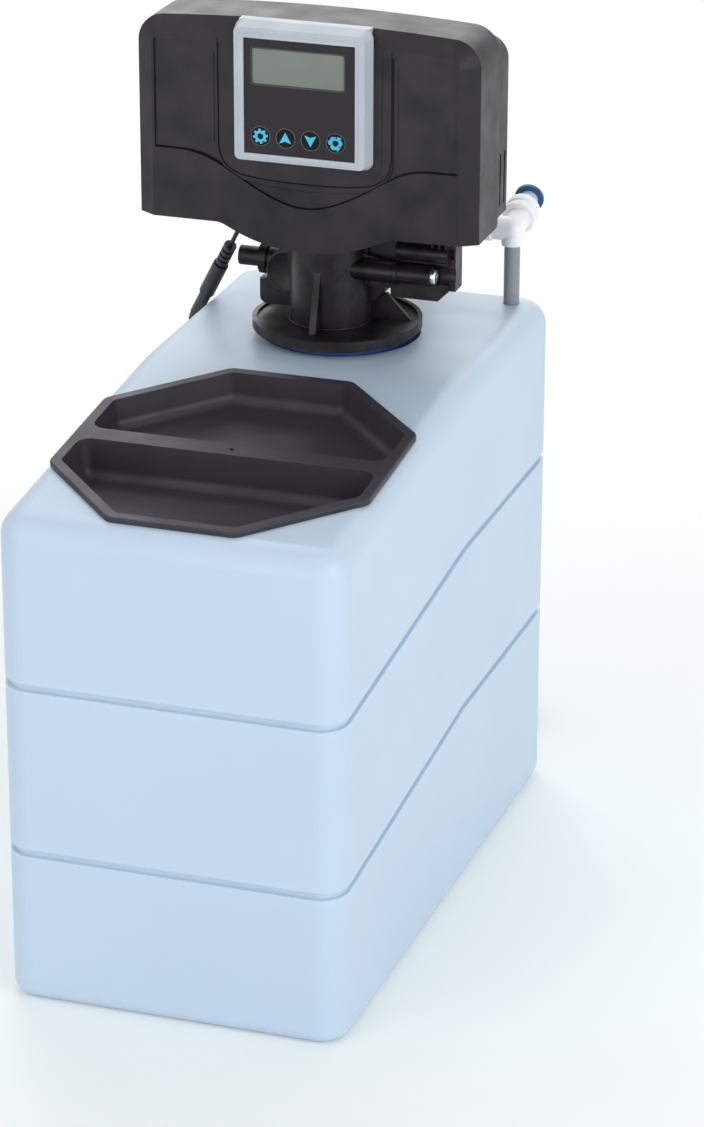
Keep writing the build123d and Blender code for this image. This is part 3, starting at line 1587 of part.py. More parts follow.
def lead_grommet():
    z0 = cover_bottom_z + housing_inset
    z1 = z0 + housing_wall
    flange = post(grommet_radius, grommet_x, grommet_y, z0 - grommet_length / 2, z0)
    core = post(grommet_radius - grommet_groove - slip_gap, grommet_x, grommet_y, z0, z1)
    bore = post(lead_radius + slip_gap, grommet_x, grommet_y, z0 - grommet_length, z1 + overrun)
    return flange + core - bore


def build_all():
    """Every sub-part by its node name."""
    parts = {
        "cabinet_shell": cabinet_shell(),
        "salt_lid": salt_lid(),
        "resin_tank": resin_tank(),
        "tank_foot": tank_foot(),
        "tank_gasket": tank_gasket(),
        "riser_tube": riser_tube(),
        "bottom_strainer": bottom_strainer(),
        "top_strainer": top_strainer(),
        "resin_bed": resin_bed(),
        "salt_platform": salt_platform(),
        "brine_well": brine_well(),
        "well_cap": well_cap(),
        "safety_float": safety_float(),
        "air_check": air_check(),
        "check_ball": check_ball(),
        "brine_tube": brine_tube(),
        "overflow_spigot": overflow_spigot(),
        "overflow_nut": overflow_nut(),
        "valve_body": valve_body(),
        "meter_cage": meter_cage(),
        "turbine": turbine(),
        "piston": piston(),
        "seal_rings": seal_rings(),
        "spacer_cages": spacer_cages(),
        "end_plug": end_plug(),
        "drive_gear": drive_gear(),
        "reduction_gear": reduction_gear(),
        "motor_pinion": motor_pinion(),
        "drive_plate": drive_plate(),
        "drive_motor": drive_motor(),
        "front_cover": front_cover(),
        "rear_housing": rear_housing(),
        "control_frame": control_frame(),
        "control_panel": control_panel(),
        "display": display(),
        "circuit_board": circuit_board(),
        "injector_housing": injector_housing(),
        "injector_cap": injector_cap(),
        "injector_nozzle": injector_nozzle(),
        "injector_screw": injector_screw(),
        "drain_nut": drain_nut(),
        "drain_spigot": drain_spigot(),
        "brine_elbow": brine_elbow(),
        "elbow_nut": elbow_nut(),
        "brine_stem": brine_stem(),
        "release_collet": release_collet(),
        "lead_grommet": lead_grommet(),
        "power_lead": cord_tube("power_lead", lead_points, lead_radius),
        "lead_socket": lead_socket(),
        "lead_plug": lead_plug(),
        "adaptor_lead": cord_tube("adaptor_lead", cord_points, cord_radius),
        "adaptor_coil": adaptor_coil(),
        "adaptor_tail": cord_tube("adaptor_tail", tail_points, cord_radius),
        "mains_adaptor": mains_adaptor(),
    }
    for name, x in zip(("settings", "up", "down", "regenerate"), button_xs()):
        parts["button_" + name] = button(x)
    return parts


def main():
    os.makedirs("parts", exist_ok=True)
    for node, shape in build_all().items():
        export_step(shape, f"parts/{node}.step")


if __name__ == "__main__":
    main()
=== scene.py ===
"""Compact cabinet water softener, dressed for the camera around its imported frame."""

import logging
import math
from dataclasses import dataclass
from enum import Enum

import bmesh
import bpy
from mathutils import Matrix, Vector


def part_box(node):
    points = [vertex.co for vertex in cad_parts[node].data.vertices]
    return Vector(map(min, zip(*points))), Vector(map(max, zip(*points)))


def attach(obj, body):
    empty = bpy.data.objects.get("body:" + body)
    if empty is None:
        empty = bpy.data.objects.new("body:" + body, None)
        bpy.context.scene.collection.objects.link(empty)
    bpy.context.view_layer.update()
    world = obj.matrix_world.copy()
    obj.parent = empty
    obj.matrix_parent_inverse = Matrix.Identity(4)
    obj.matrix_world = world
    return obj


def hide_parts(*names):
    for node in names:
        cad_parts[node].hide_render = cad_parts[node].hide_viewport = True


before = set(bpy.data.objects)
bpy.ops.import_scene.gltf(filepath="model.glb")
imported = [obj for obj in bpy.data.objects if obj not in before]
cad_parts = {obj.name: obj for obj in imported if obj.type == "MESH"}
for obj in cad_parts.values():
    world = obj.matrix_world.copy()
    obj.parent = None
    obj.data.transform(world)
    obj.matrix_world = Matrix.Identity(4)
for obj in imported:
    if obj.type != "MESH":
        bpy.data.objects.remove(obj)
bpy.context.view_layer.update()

MM = 0.001
ROOT = "softener"
PHOTO_SIZE = (704, 1127)
SMOOTH_BELOW = math.radians(40)
UPRIGHT = Matrix.Rotation(math.pi / 2, 4, "X")
RIBBON_FOOT = 1.5
log = logging.getLogger("softener")


def linear(code: str) -> tuple[float, float, float]:
    """Linear colour of a hex display colour.

    Args:
        code: Six hex digits.

    Returns:
        Red, green and blue in linear light.
    """
    parts = [int(code[i:i + 2], 16) / 255 for i in (0, 2, 4)]
    return tuple(c / 12.92 if c <= 0.04045 else ((c + 0.055) / 1.055) ** 2.4 for c in parts)


class Surface(Enum):
    """How a finish's fine relief looks."""

    SMOOTH = "smooth"
    SPARK = "spark-eroded grain"
    BEADS = "beads"
    BRUSHED = "brushed"


@dataclass(frozen=True)
class Finish:
    """One material: its colours, gloss and relief."""

    name: str
    colour: str
    shade: str
    roughness: float
    roughness_spread: float = 0.06
    cloud_size: float = 0.04
    grain_size: float = 0.0005
    grain_depth: float = 0.00002
    surface: Surface = Surface.SPARK
    coat: float = 0.0
    specular: float = 0.5
    metallic: float = 0.0
    transmission: float = 0.0
    glow_through: float = 0.0
    glow_depth: float = 0.006
    coat_roughness: float = 0.12
    colour_range: tuple[float, float] = (0.35, 0.65)
    gloss_range: tuple[float, float] = (0.3, 0.7)
    cloud_detail: float = 5
    grain_detail: float = 3
    brushed_stretch: float = 0.05
    relief_strength: float = 0.6

    def material(self) -> bpy.types.Material:
        """Node material of this finish, made once.

        Returns:
            The material.
        """
        known = bpy.data.materials.get(self.name)
        if known is not None:
            return known
        material = bpy.data.materials.new(self.name)
        material.use_nodes = True
        nodes = material.node_tree.nodes
        links = material.node_tree.links
        shader = nodes["Principled BSDF"]
        shader.inputs["Metallic"].default_value = self.metallic
        shader.inputs["Transmission Weight"].default_value = self.transmission
        shader.inputs["Coat Weight"].default_value = self.coat
        shader.inputs["Specular IOR Level"].default_value = self.specular
        shader.inputs["Coat Roughness"].default_value = self.coat_roughness
        if self.glow_through > 0:
            shader.inputs["Subsurface Weight"].default_value = self.glow_through
            shader.inputs["Subsurface Scale"].default_value = self.glow_depth
            shader.inputs["Subsurface Radius"].default_value = (1.0, 1.0, 1.0)
        place = nodes.new("ShaderNodeTexCoord")
        clouds = nodes.new("ShaderNodeTexNoise")
        clouds.inputs["Scale"].default_value = 1 / self.cloud_size
        clouds.inputs["Detail"].default_value = self.cloud_detail
        links.new(place.outputs["Object"], clouds.inputs["Vector"])
        blend = nodes.new("ShaderNodeMix")
        blend.data_type = "RGBA"
        blend.inputs["A"].default_value = (*linear(self.colour), 1)
        blend.inputs["B"].default_value = (*linear(self.shade), 1)
        ramp = nodes.new("ShaderNodeMapRange")
        ramp.inputs["From Min"].default_value, ramp.inputs["From Max"].default_value = self.colour_range
        links.new(clouds.outputs["Fac"], ramp.inputs["Value"])
        links.new(ramp.outputs["Result"], blend.inputs["Factor"])
        links.new(blend.outputs["Result"], shader.inputs["Base Color"])
        gloss = nodes.new("ShaderNodeMapRange")
        gloss.inputs["From Min"].default_value, gloss.inputs["From Max"].default_value = self.gloss_range
        gloss.inputs["To Min"].default_value = self.roughness - self.roughness_spread
        gloss.inputs["To Max"].default_value = self.roughness + self.roughness_spread
        links.new(clouds.outputs["Fac"], gloss.inputs["Value"])
        links.new(gloss.outputs["Result"], shader.inputs["Roughness"])
        self._relief(nodes, links, place, shader)
        return material

    def _relief(self, nodes, links, place, shader) -> None:
        """Adds the fine relief as bump.

        Args:
            nodes: The material's nodes.
            links: The material's links.
            place: The texture coordinate node.
            shader: The surface shader.
        """
        if self.surface is Surface.SMOOTH:
            return
        if self.surface is Surface.BEADS:
            grain = nodes.new("ShaderNodeTexVoronoi")
            height = grain.outputs["Distance"]
        else:
            grain = nodes.new("ShaderNodeTexNoise")
            grain.inputs["Detail"].default_value = self.grain_detail
            height = grain.outputs["Fac"]
        grain.inputs["Scale"].default_value = 1 / self.grain_size
        source = place.outputs["Object"]
        if self.surface is Surface.BRUSHED:
            stretch = nodes.new("ShaderNodeMapping")
            stretch.inputs["Scale"].default_value = (1, self.brushed_stretch, 1)
            links.new(source, stretch.inputs["Vector"])
            source = stretch.outputs["Vector"]
        links.new(source, grain.inputs["Vector"])
        bump = nodes.new("ShaderNodeBump")
        bump.inputs["Strength"].default_value = self.relief_strength
        bump.inputs["Distance"].default_value = self.grain_depth
        links.new(height, bump.inputs["Height"])
        links.new(bump.outputs["Normal"], shader.inputs["Normal"])


CABINET = Finish("pale_blue_moulding", "C2D5E8", "C0D3E7", 0.42, 0.04, 0.09, 0.0012, 0.00003, glow_through=0.3)
COVER = Finish("black_cover_grain", "241F27", "110E13", 0.42, 0.06, 0.025, 0.00055, 0.00005, specular=0.33)
VALVE = Finish("black_valve_nylon", "272127", "070608", 0.4, 0.08, 0.012, 0.0008, 0.00008, specular=0.32)
LID = Finish("black_lid_grain", "3A3540", "332F39", 0.43, 0.06, 0.03, 0.0008, 0.00012, specular=0.27)
FRAME = Finish("light_grey_frame", "B9C1CA", "B2BAC4", 0.42, 0.04, 0.03, 0.0006, 0.00002)
PANEL = Finish("panel_sheet", "1F1A21", "1C171E", 0.45, 0.03, 0.05, 0.0004, 0.00001, specular=0.3)
GLASS = Finish("display_glass", "6E766F", "69716A", 0.25, 0.02, 0.03, surface=Surface.SMOOTH, coat=0.2)
GLASS_EDGE = Finish("display_edge", "3E4044", "37393D", 0.4, surface=Surface.SMOOTH)
# Lighter grey painted as the highlight on the port end's rim.
RIM_HIGHLIGHT = Finish("painted_rim_highlight", "4B464E", "3F3A42", 0.45, 0.05, 0.01, surface=Surface.SMOOTH)
# Flat dark colour painted as the shadow in the cover's groove and at its step edge.
GROOVE_SHADOW = Finish("painted_groove_shadow", "141216", "100E12", 0.7, surface=Surface.SMOOTH, specular=0.1)
KEY = Finish("key_rubber", "100F12", "0D0C0F", 0.4, 0.04, 0.01, 0.0004, 0.00002, specular=0.15)
# Light grey painted as the highlight on the real rims round the keys.
KEY_RIM_HIGHLIGHT = Finish("key_rim", "6B7078", "5F646B", 0.3, surface=Surface.SMOOTH)
ICON = Finish("key_print", "46C3E6", "3CB4DA", 0.5, surface=Surface.SMOOTH)
TANK = Finish("blue_tank", "2A55A0", "24498C", 0.3, 0.04, 0.03, coat=0.3)
TUBE = Finish("grey_tube", "8E9199", "878A92", 0.4, 0.04, 0.02, 0.0005, 0.00001)
FITTING = Finish("white_fitting", "F8F9FD", "F0F2F8", 0.32, 0.04, 0.02, glow_through=0.08, surface=Surface.SMOOTH)
CLEAR = Finish("clear_stem", "DDEAF6", "D2E2F2", 0.15, 0.03, 0.01, surface=Surface.SMOOTH, transmission=0.7)
COLLET = Finish("blue_collet", "27567F", "224C72", 0.35, 0.04, 0.01, surface=Surface.SMOOTH)
SLEEVE = Finish("pale_sleeve", "CFE0F2", "C4D8EE", 0.25, 0.04, 0.01, surface=Surface.SMOOTH, glow_through=0.2)
BRIGHT_CLIP = Finish("bright_clip", "8E8C93", "85838A", 0.4, 0.04, 0.01, surface=Surface.SMOOTH)
GEAR = Finish("ivory_gear", "E6E2D2", "DDD8C6", 0.45, 0.04, 0.01, 0.0005, 0.00001)
SEAL = Finish("seal_rubber", "1B1B1C", "161617", 0.6, 0.05, 0.01)
RESIN = Finish("ion_beads", "B0702A", "8C5620", 0.4, 0.05, 0.002, 0.0009, 0.0003, surface=Surface.BEADS)
BOARD = Finish("green_board", "1F6B3E", "1A5E36", 0.35, 0.04, 0.01, coat=0.3)
STEEL = Finish("motor_steel", "B9BBBE", "AEB0B4", 0.35, 0.06, 0.01, 0.0002, 0.00001, Surface.BRUSHED, metallic=1.0)
SCREW = Finish("bright_screw", "F4F4F6", "E8E8EA", 0.3, 0.05, 0.004, 0.0002, 0.00001, Surface.BRUSHED, metallic=1.0)
CORD = Finish("lead_jacket", "1D1B20", "18171B", 0.45, 0.05, 0.01, 0.0006, 0.00003)

NODE_FINISHES: dict[str, Finish] = {
    "cabinet_shell": CABINET, "salt_lid": LID, "resin_tank": TANK, "tank_foot": SEAL, "tank_gasket": SEAL,
    "riser_tube": TUBE, "bottom_strainer": GEAR, "top_strainer": GEAR, "resin_bed": RESIN,
    "salt_platform": GEAR, "brine_well": FITTING, "well_cap": VALVE, "safety_float": FITTING,
    "air_check": CLEAR, "check_ball": FITTING, "brine_tube": TUBE, "overflow_spigot": VALVE,
    "overflow_nut": VALVE, "valve_body": VALVE, "meter_cage": GEAR, "turbine": FITTING, "piston": GEAR,
    "seal_rings": SEAL, "spacer_cages": GEAR, "end_plug": VALVE, "drive_gear": GEAR, "reduction_gear": GEAR,
    "motor_pinion": GEAR, "drive_plate": VALVE, "drive_motor": STEEL, "front_cover": COVER,
    "rear_housing": COVER, "control_frame": FRAME, "control_panel": PANEL, "display": GLASS,
    "circuit_board": BOARD, "injector_housing": VALVE, "injector_cap": VALVE, "injector_nozzle": VALVE,
    "injector_screw": SCREW, "drain_nut": VALVE, "drain_spigot": VALVE, "brine_elbow": FITTING,
    "elbow_nut": FITTING, "brine_stem": CLEAR, "release_collet": COLLET, "lead_grommet": CORD,
    "power_lead": CORD, "lead_socket": CORD, "lead_plug": CORD, "adaptor_lead": CORD, "adaptor_coil": CORD,
    "adaptor_tail": CORD, "mains_adaptor": VALVE, "button_settings": KEY, "button_up": KEY,
    "button_down": KEY, "button_regenerate": KEY,
}


def object_from(name: str, mesh: bmesh.types.BMesh, finish: Finish, body: str,
                smooth: bool = False) -> bpy.types.Object:
    """Makes a piece from a bmesh, dresses it and lets it ride on a body.

    Args:
        name: The piece's name.
        mesh: Its mesh, in place, in metres.
        finish: Its finish.
        body: The body that it rides on.
        smooth: Whether its faces are shaded smooth.

    Returns:
        The piece.
    """
    bmesh.ops.recalc_face_normals(mesh, faces=mesh.faces)
    data = bpy.data.meshes.new(name)
    mesh.to_mesh(data)
    mesh.free()
    data.materials.append(finish.material())
    if smooth:
        data.shade_smooth()
        data.set_sharp_from_angle(angle=SMOOTH_BELOW)
    piece = bpy.data.objects.new(name, data)
    bpy.context.scene.collection.objects.link(piece)
    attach(piece, body)
    return piece


@dataclass
class PhotoCamera:
    """The camera at the photograph's viewing angle."""

    azimuth: float = 18.559
    elevation: float = 23.184
    roll: float = 0.122
    focal_pixels: float = 4260.0
    centre_pixel: tuple[float, float] = (353.47, 647.65)
    aim: tuple[float, float, float] = (0.04377, 0.0006, 0.16879)
    distance: float = 2.7295
    sensor: float = 36.0

    def build(self) -> bpy.types.Object:
        """Makes the camera and gives it to the scene.

        Returns:
            The camera.
        """
        turn, lift = math.radians(self.azimuth), math.radians(self.elevation)
        back = Vector((math.sin(turn) * math.cos(lift), -math.cos(turn) * math.cos(lift), math.sin(lift)))
        flat = Vector((math.cos(turn), math.sin(turn), 0))
        tilt = Matrix.Rotation(math.radians(self.roll), 3, back)
        right = tilt @ flat
        up = tilt @ back.cross(flat)
        data = bpy.data.cameras.new("photo_camera")
        camera = bpy.data.objects.new("photo_camera", data)
        bpy.context.scene.collection.objects.link(camera)
        pose = Matrix((right, up, back)).transposed().to_4x4()
        pose.translation = Vector(self.aim) + back * self.distance
        camera.matrix_world = pose
        width, height = PHOTO_SIZE
        data.sensor_fit = "AUTO"
        data.sensor_width = self.sensor
        data.lens = self.focal_pixels / height * self.sensor
        data.shift_x = (width / 2 - self.centre_pixel[0]) / height
        data.shift_y = (self.centre_pixel[1] - height / 2) / height
        data.clip_start = 0.05
        data.clip_end = 50
        bpy.context.scene.camera = camera
        return camera


@dataclass
class Studio:
    """Pale floor, soft lamps and an even world light."""

    floor_size: float = 14.0
    world_strength: float = 0.55
    floor_near: float = 0.14
    floor_far: float = 1.0
    floor_reach: tuple[float, float] = (0.3, 1.0)
    floor_colour: tuple[float, float, float, float] = (0.96, 1.0, 1.0, 1.0)
    floor_roughness: float = 0.9
    lamp_aim: tuple[float, float, float] = (0.0, 0.0, 0.3)
    lamps: tuple[tuple[tuple[float, float, float], float, float], ...] = (
        ((-1.9, -2.6, 2.5), 2.2, 16.0),
        ((2.6, -1.4, 1.2), 1.8, 35.0),
        ((0.2, 0.9, 3.2), 2.6, 7.0),
        ((-0.5, -1.9, 0.4), 1.0, 5.0),
        ((-0.6, 3.2, 1.7), 2.6, 32.0),
        ((-1.0, 1.4, 2.8), 0.8, 10.0),
    )

    def build(self) -> None:
        """Makes the floor, the lamps and the world."""
        self._floor()
        for spot, size, power in self.lamps:
            data = bpy.data.lights.new("soft_lamp", "AREA")
            data.shape = "SQUARE"
            data.size = size
            data.energy = power
            lamp = bpy.data.objects.new("soft_lamp", data)
            bpy.context.scene.collection.objects.link(lamp)
            lamp.location = spot
            aim = Vector(self.lamp_aim) - Vector(spot)
            lamp.rotation_euler = aim.to_track_quat("-Z", "Y").to_euler()
        world = bpy.data.worlds.new("studio_world")
        world.use_nodes = True
        nodes, links = world.node_tree.nodes, world.node_tree.links
        nodes["Background"].inputs["Color"].default_value = (1.0, 1.0, 1.0, 1)
        level = nodes.new("ShaderNodeMapRange")
        level.inputs["To Min"].default_value = self.world_strength
        level.inputs["To Max"].default_value = 1.0
        links.new(self._seen(nodes, links), level.inputs["Value"])
        links.new(level.outputs["Result"], nodes["Background"].inputs["Strength"])
        bpy.context.scene.world = world
        bpy.context.scene.view_settings.view_transform = "Standard"

    @staticmethod
    def _seen(nodes, links) -> bpy.types.NodeSocket:
        """Marks the rays that show the background: the camera's, in gloss and through clear pieces.

        Args:
            nodes: The nodes of a material or the world.
            links: Its links.

        Returns:
            A socket that is 1 for these rays and 0 for the rest.
        """
        path = nodes.new("ShaderNodeLightPath")
        mark = path.outputs["Is Camera Ray"]
        for ray in ("Is Glossy Ray", "Is Transmission Ray"):
            either = nodes.new("ShaderNodeMath")
            either.operation = "MAXIMUM"
            links.new(mark, either.inputs[0])
            links.new(path.outputs[ray], either.inputs[1])
            mark = either.outputs[0]
        return mark

    def _floor(self) -> None:
        """Makes the floor, which the camera and reflections see as near white."""
        mesh = bmesh.new()
        bmesh.ops.create_grid(mesh, x_segments=1, y_segments=1, size=self.floor_size / 2)
        data = bpy.data.meshes.new("floor")
        mesh.to_mesh(data)
        mesh.free()
        material = bpy.data.materials.new("floor_paper")
        material.use_nodes = True
        nodes, links = material.node_tree.nodes, material.node_tree.links
        paper = nodes["Principled BSDF"]
        paper.inputs["Base Color"].default_value = self.floor_colour
        paper.inputs["Roughness"].default_value = self.floor_roughness
        light = nodes.new("ShaderNodeEmission")
        light.inputs["Color"].default_value = (1, 1, 1, 1)
        light.inputs["Strength"].default_value = 1.0
        place = nodes.new("ShaderNodeTexCoord")
        reach = nodes.new("ShaderNodeVectorMath")
        reach.operation = "LENGTH"
        links.new(place.outputs["Object"], reach.inputs[0])
        white = nodes.new("ShaderNodeMapRange")
        white.interpolation_type = "SMOOTHSTEP"
        white.inputs["From Min"].default_value, white.inputs["From Max"].default_value = self.floor_reach
        white.inputs["To Min"].default_value = self.floor_near
        white.inputs["To Max"].default_value = self.floor_far
        links.new(reach.outputs["Value"], white.inputs["Value"])
        share = nodes.new("ShaderNodeMath")
        share.operation = "MULTIPLY"
        links.new(self._seen(nodes, links), share.inputs[0])
        links.new(white.outputs["Result"], share.inputs[1])
        mix = nodes.new("ShaderNodeMixShader")
        links.new(share.outputs[0], mix.inputs["Fac"])
        links.new(paper.outputs["BSDF"], mix.inputs[1])
        links.new(light.outputs["Emission"], mix.inputs[2])
        links.new(mix.outputs["Shader"], nodes["Material Output"].inputs["Surface"])
        data.materials.append(material)
        floor = bpy.data.objects.new("floor", data)
        bpy.context.scene.collection.objects.link(floor)


@dataclass
class Leads:
    """The thin lead from the housing and the adaptor's cord with its coil."""

    lead_points: tuple[tuple[float, float, float], ...] = (
        (-60.0, 100.0, 441.0), (-60.0, 100.0, 428.0), (-73.08, 114.77, 403.95), (-82.6, 122.6, 388.2),
    )
    cord_points: tuple[tuple[float, float, float], ...] = (
        (-122.0, 155.0, 323.0), (-131.1, 161.3, 308.8), (-133.5, 167.0, 276.0), (-130.5, 173.0, 222.0),
        (-127.5, 171.0, 166.0), (-129.0, 177.0, 110.0), (-131.5, 184.0, 58.0), (-131.0, 203.0, 22.0),
        (-127.0, 236.0, 2.8), (-110.0, 268.0, 2.5), (-83.0, 289.0, 2.4), (-58.0, 289.0, 2.4),
    )
    tail_points: tuple[tuple[float, float, float], ...] = (
        (-46.0, 289.0, 6.9), (-36.0, 289.0, 6.9), (-22.0, 288.0, 9.8), (-9.0, 286.0, 12.0), (2.0, 286.0, 12.0),
    )
    lead_diameter: float = 3.0
    cord_diameter: float = 4.0
    lead_length: float = 0.0625
    cord_length: float = 1.26
    coil_x: float = -52.0
    coil_radius: float = 27.0
    coil_pitch: float = 4.5
    coil_half_turns: int = 6
    points_per_half: int = 6

    def coil_points(self) -> list[tuple[float, float, float]]:
        """Points round the coil: half turns in, one that climbs and half turns out on top.

        Returns:
            The points in millimetres.
        """
        low, high = self.cord_points[-1][2], self.tail_points[0][2]
        y, side, radius = self.cord_points[-1][1], -1, self.coil_radius
        step = math.pi / self.points_per_half
        outside = 1 / math.cos(step / 2)
        points = []
        total = 2 * self.coil_half_turns
        for turn in range(total):
            centre = y + side * radius
            for i in range(self.points_per_half):
                angle = step * (i + 0.5)
                share = (i + 0.5) / self.points_per_half if turn == self.coil_half_turns else 0
                level = high if turn > self.coil_half_turns else low + (high - low) * share
                reach = radius * outside
                x = self.coil_x - side * reach * math.sin(angle)
                points.append((x, centre - side * reach * math.cos(angle), level))
            y += 2 * radius * side
            side = -side
            radius += -self.coil_pitch / 2 if turn < self.coil_half_turns else self.coil_pitch / 2
        return points

    def _tube(self, name: str, points: list, diameter: float) -> bpy.types.Object:
        """Makes a round cord on a smooth spline.

        Args:
            name: The piece's name.
            points: The spline's points in millimetres.
            diameter: The cord's diameter in millimetres.

        Returns:
            The piece.
        """
        curve = bpy.data.curves.new(name, "CURVE")
        curve.dimensions = "3D"
        curve.bevel_depth = diameter / 2 * MM
        curve.bevel_resolution = 5
        curve.resolution_u = 6
        curve.use_fill_caps = True
        spline = curve.splines.new("NURBS")
        spline.points.add(len(points) - 1)
        for point, place in zip(spline.points, points):
            point.co = (*(c * MM for c in place), 1)
        spline.order_u = 3
        spline.use_endpoint_u = True
        curve.materials.append(CORD.material())
        piece = bpy.data.objects.new(name, curve)
        bpy.context.scene.collection.objects.link(piece)
        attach(piece, ROOT)
        return piece

    def build(self) -> None:
        lead = self._tube("supply_lead", list(self.lead_points), self.lead_diameter)
        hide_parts("power_lead")
        route = list(self.cord_points) + self.coil_points() + list(self.tail_points)
        cord = self._tube("adaptor_cord", route, self.cord_diameter)
        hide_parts("adaptor_lead", "adaptor_coil", "adaptor_tail")
        log.info("cords: the lead of %.0f mm and the adaptor's of %.0f mm",
                 self.lead_length / MM, self.cord_length / MM)


@dataclass
class CadFinishes:
    """Finishes of the pieces that keep their solid form."""

    def build(self) -> None:
        """Gives every node its finish."""
        for name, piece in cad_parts.items():
            material = NODE_FINISHES[name].material()
            if not piece.material_slots:
                piece.data.materials.append(material)
            for slot in piece.material_slots:
                slot.material = material
        log.info("finishes: %d nodes", len(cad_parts))


class Icon(Enum):
    """The picture on a key."""

    SETTINGS = "settings"
    UP = "up"
    DOWN = "down"
    REGENERATE = "regenerate"


@dataclass
class KeyIcons:
    """Printed pictures on the four keys."""

    gear_radius: float = 4.9
    arrow_size: float = 3.9
    arrow_wing: float = 0.85
    arrow_notch: float = 0.5
    cycle_size: float = 4.7
    thickness: float = 0.12
    sink: float = 0.02
    gear_teeth: int = 8
    gear_steps: int = 6
    gear_hole: float = 0.4
    gear_root: float = 0.74
    cycle_scale: float = 0.9

    def _flat(self, points: list[tuple[float, float]]) -> bmesh.types.BMesh:
        """A flat polygon in X and Z.

        Args:
            points: Its corners in millimetres.

        Returns:
            A bmesh with the one face.
        """
        mesh = bmesh.new()
        verts = [mesh.verts.new((x * MM, 0, z * MM)) for x, z in points]
        mesh.faces.new(verts)
        return mesh

    def _gear(self) -> bmesh.types.BMesh:
        """A cog outline with a round hole.

        Returns:
            A flat bmesh.
        """
        mesh = bmesh.new()
        count = self.gear_teeth * self.gear_steps
        radius = self.gear_radius * MM
        hole = self.gear_radius * self.gear_hole * MM
        outer = bmesh.ops.create_circle(mesh, segments=count, radius=radius, matrix=UPRIGHT)["verts"]
        inner = bmesh.ops.create_circle(mesh, segments=count, radius=hole, matrix=UPRIGHT)["verts"]
        for i, vert in enumerate(outer):
            if i % self.gear_steps >= self.gear_steps // 2:
                vert.co *= self.gear_root
        edges = {e for v in list(outer) + list(inner) for e in v.link_edges}
        bmesh.ops.bridge_loops(mesh, edges=list(edges))
        return mesh

    def _arrow(self, sign: int) -> bmesh.types.BMesh:
        """An arrowhead with a notched base.

        Args:
            sign: 1 points up and -1 down.

        Returns:
            A flat bmesh.
        """
        s = self.arrow_size
        wing, notch = -self.arrow_wing * sign * s, -self.arrow_notch * sign * s
        return self._flat([(0, sign * s), (-s, wing), (0, notch), (s, wing)])

    def _cycle(self) -> bmesh.types.BMesh:
        """Three bent arrows that chase each other.

        Returns:
            A flat bmesh.
        """
        s = self.cycle_size
        mesh = bmesh.new()
        shape = [(-0.86, -0.44), (-0.53, -1.0), (0.24, -1.0), (0.24, -1.28), (0.76, -0.73), (0.24, -0.18),
                 (0.24, -0.46), (-0.2, -0.46), (-0.42, -0.16)]
        for i in range(3):
            angle = 2 * math.pi / 3 * i
            verts = []
            for x, z in shape:
                px = x * math.cos(angle) - z * math.sin(angle)
                pz = x * math.sin(angle) + z * math.cos(angle)
                verts.append(mesh.verts.new((px * s * self.cycle_scale * MM, 0, pz * s * self.cycle_scale * MM)))
            mesh.faces.new(verts)
        return mesh

    def _mesh(self, icon: Icon) -> bmesh.types.BMesh:
        """The flat picture of a key.

        Args:
            icon: Which picture.

        Returns:
            Its flat bmesh.
        """
        if icon is Icon.SETTINGS:
            return self._gear()
        if icon is Icon.REGENERATE:
            return self._cycle()
        return self._arrow(1 if icon is Icon.UP else -1)

    def build(self) -> None:
        """Makes the picture of each key on its cap."""
        for icon in Icon:
            low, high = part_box("button_" + icon.value)
            mesh = self._mesh(icon)
            out = bmesh.ops.extrude_face_region(mesh, geom=mesh.faces[:])
            moved = [v for v in out["geom"] if isinstance(v, bmesh.types.BMVert)]
            bmesh.ops.translate(mesh, verts=moved, vec=(0, -self.thickness * MM, 0))
            centre = Vector(((low.x + high.x) / 2, low.y + self.sink * MM, (low.z + high.z) / 2))
            bmesh.ops.translate(mesh, verts=mesh.verts, vec=centre)
            object_from(f"icon_{icon.value}", mesh, ICON, f"{icon.value}_key")
        log.info("icons: %d", len(Icon))


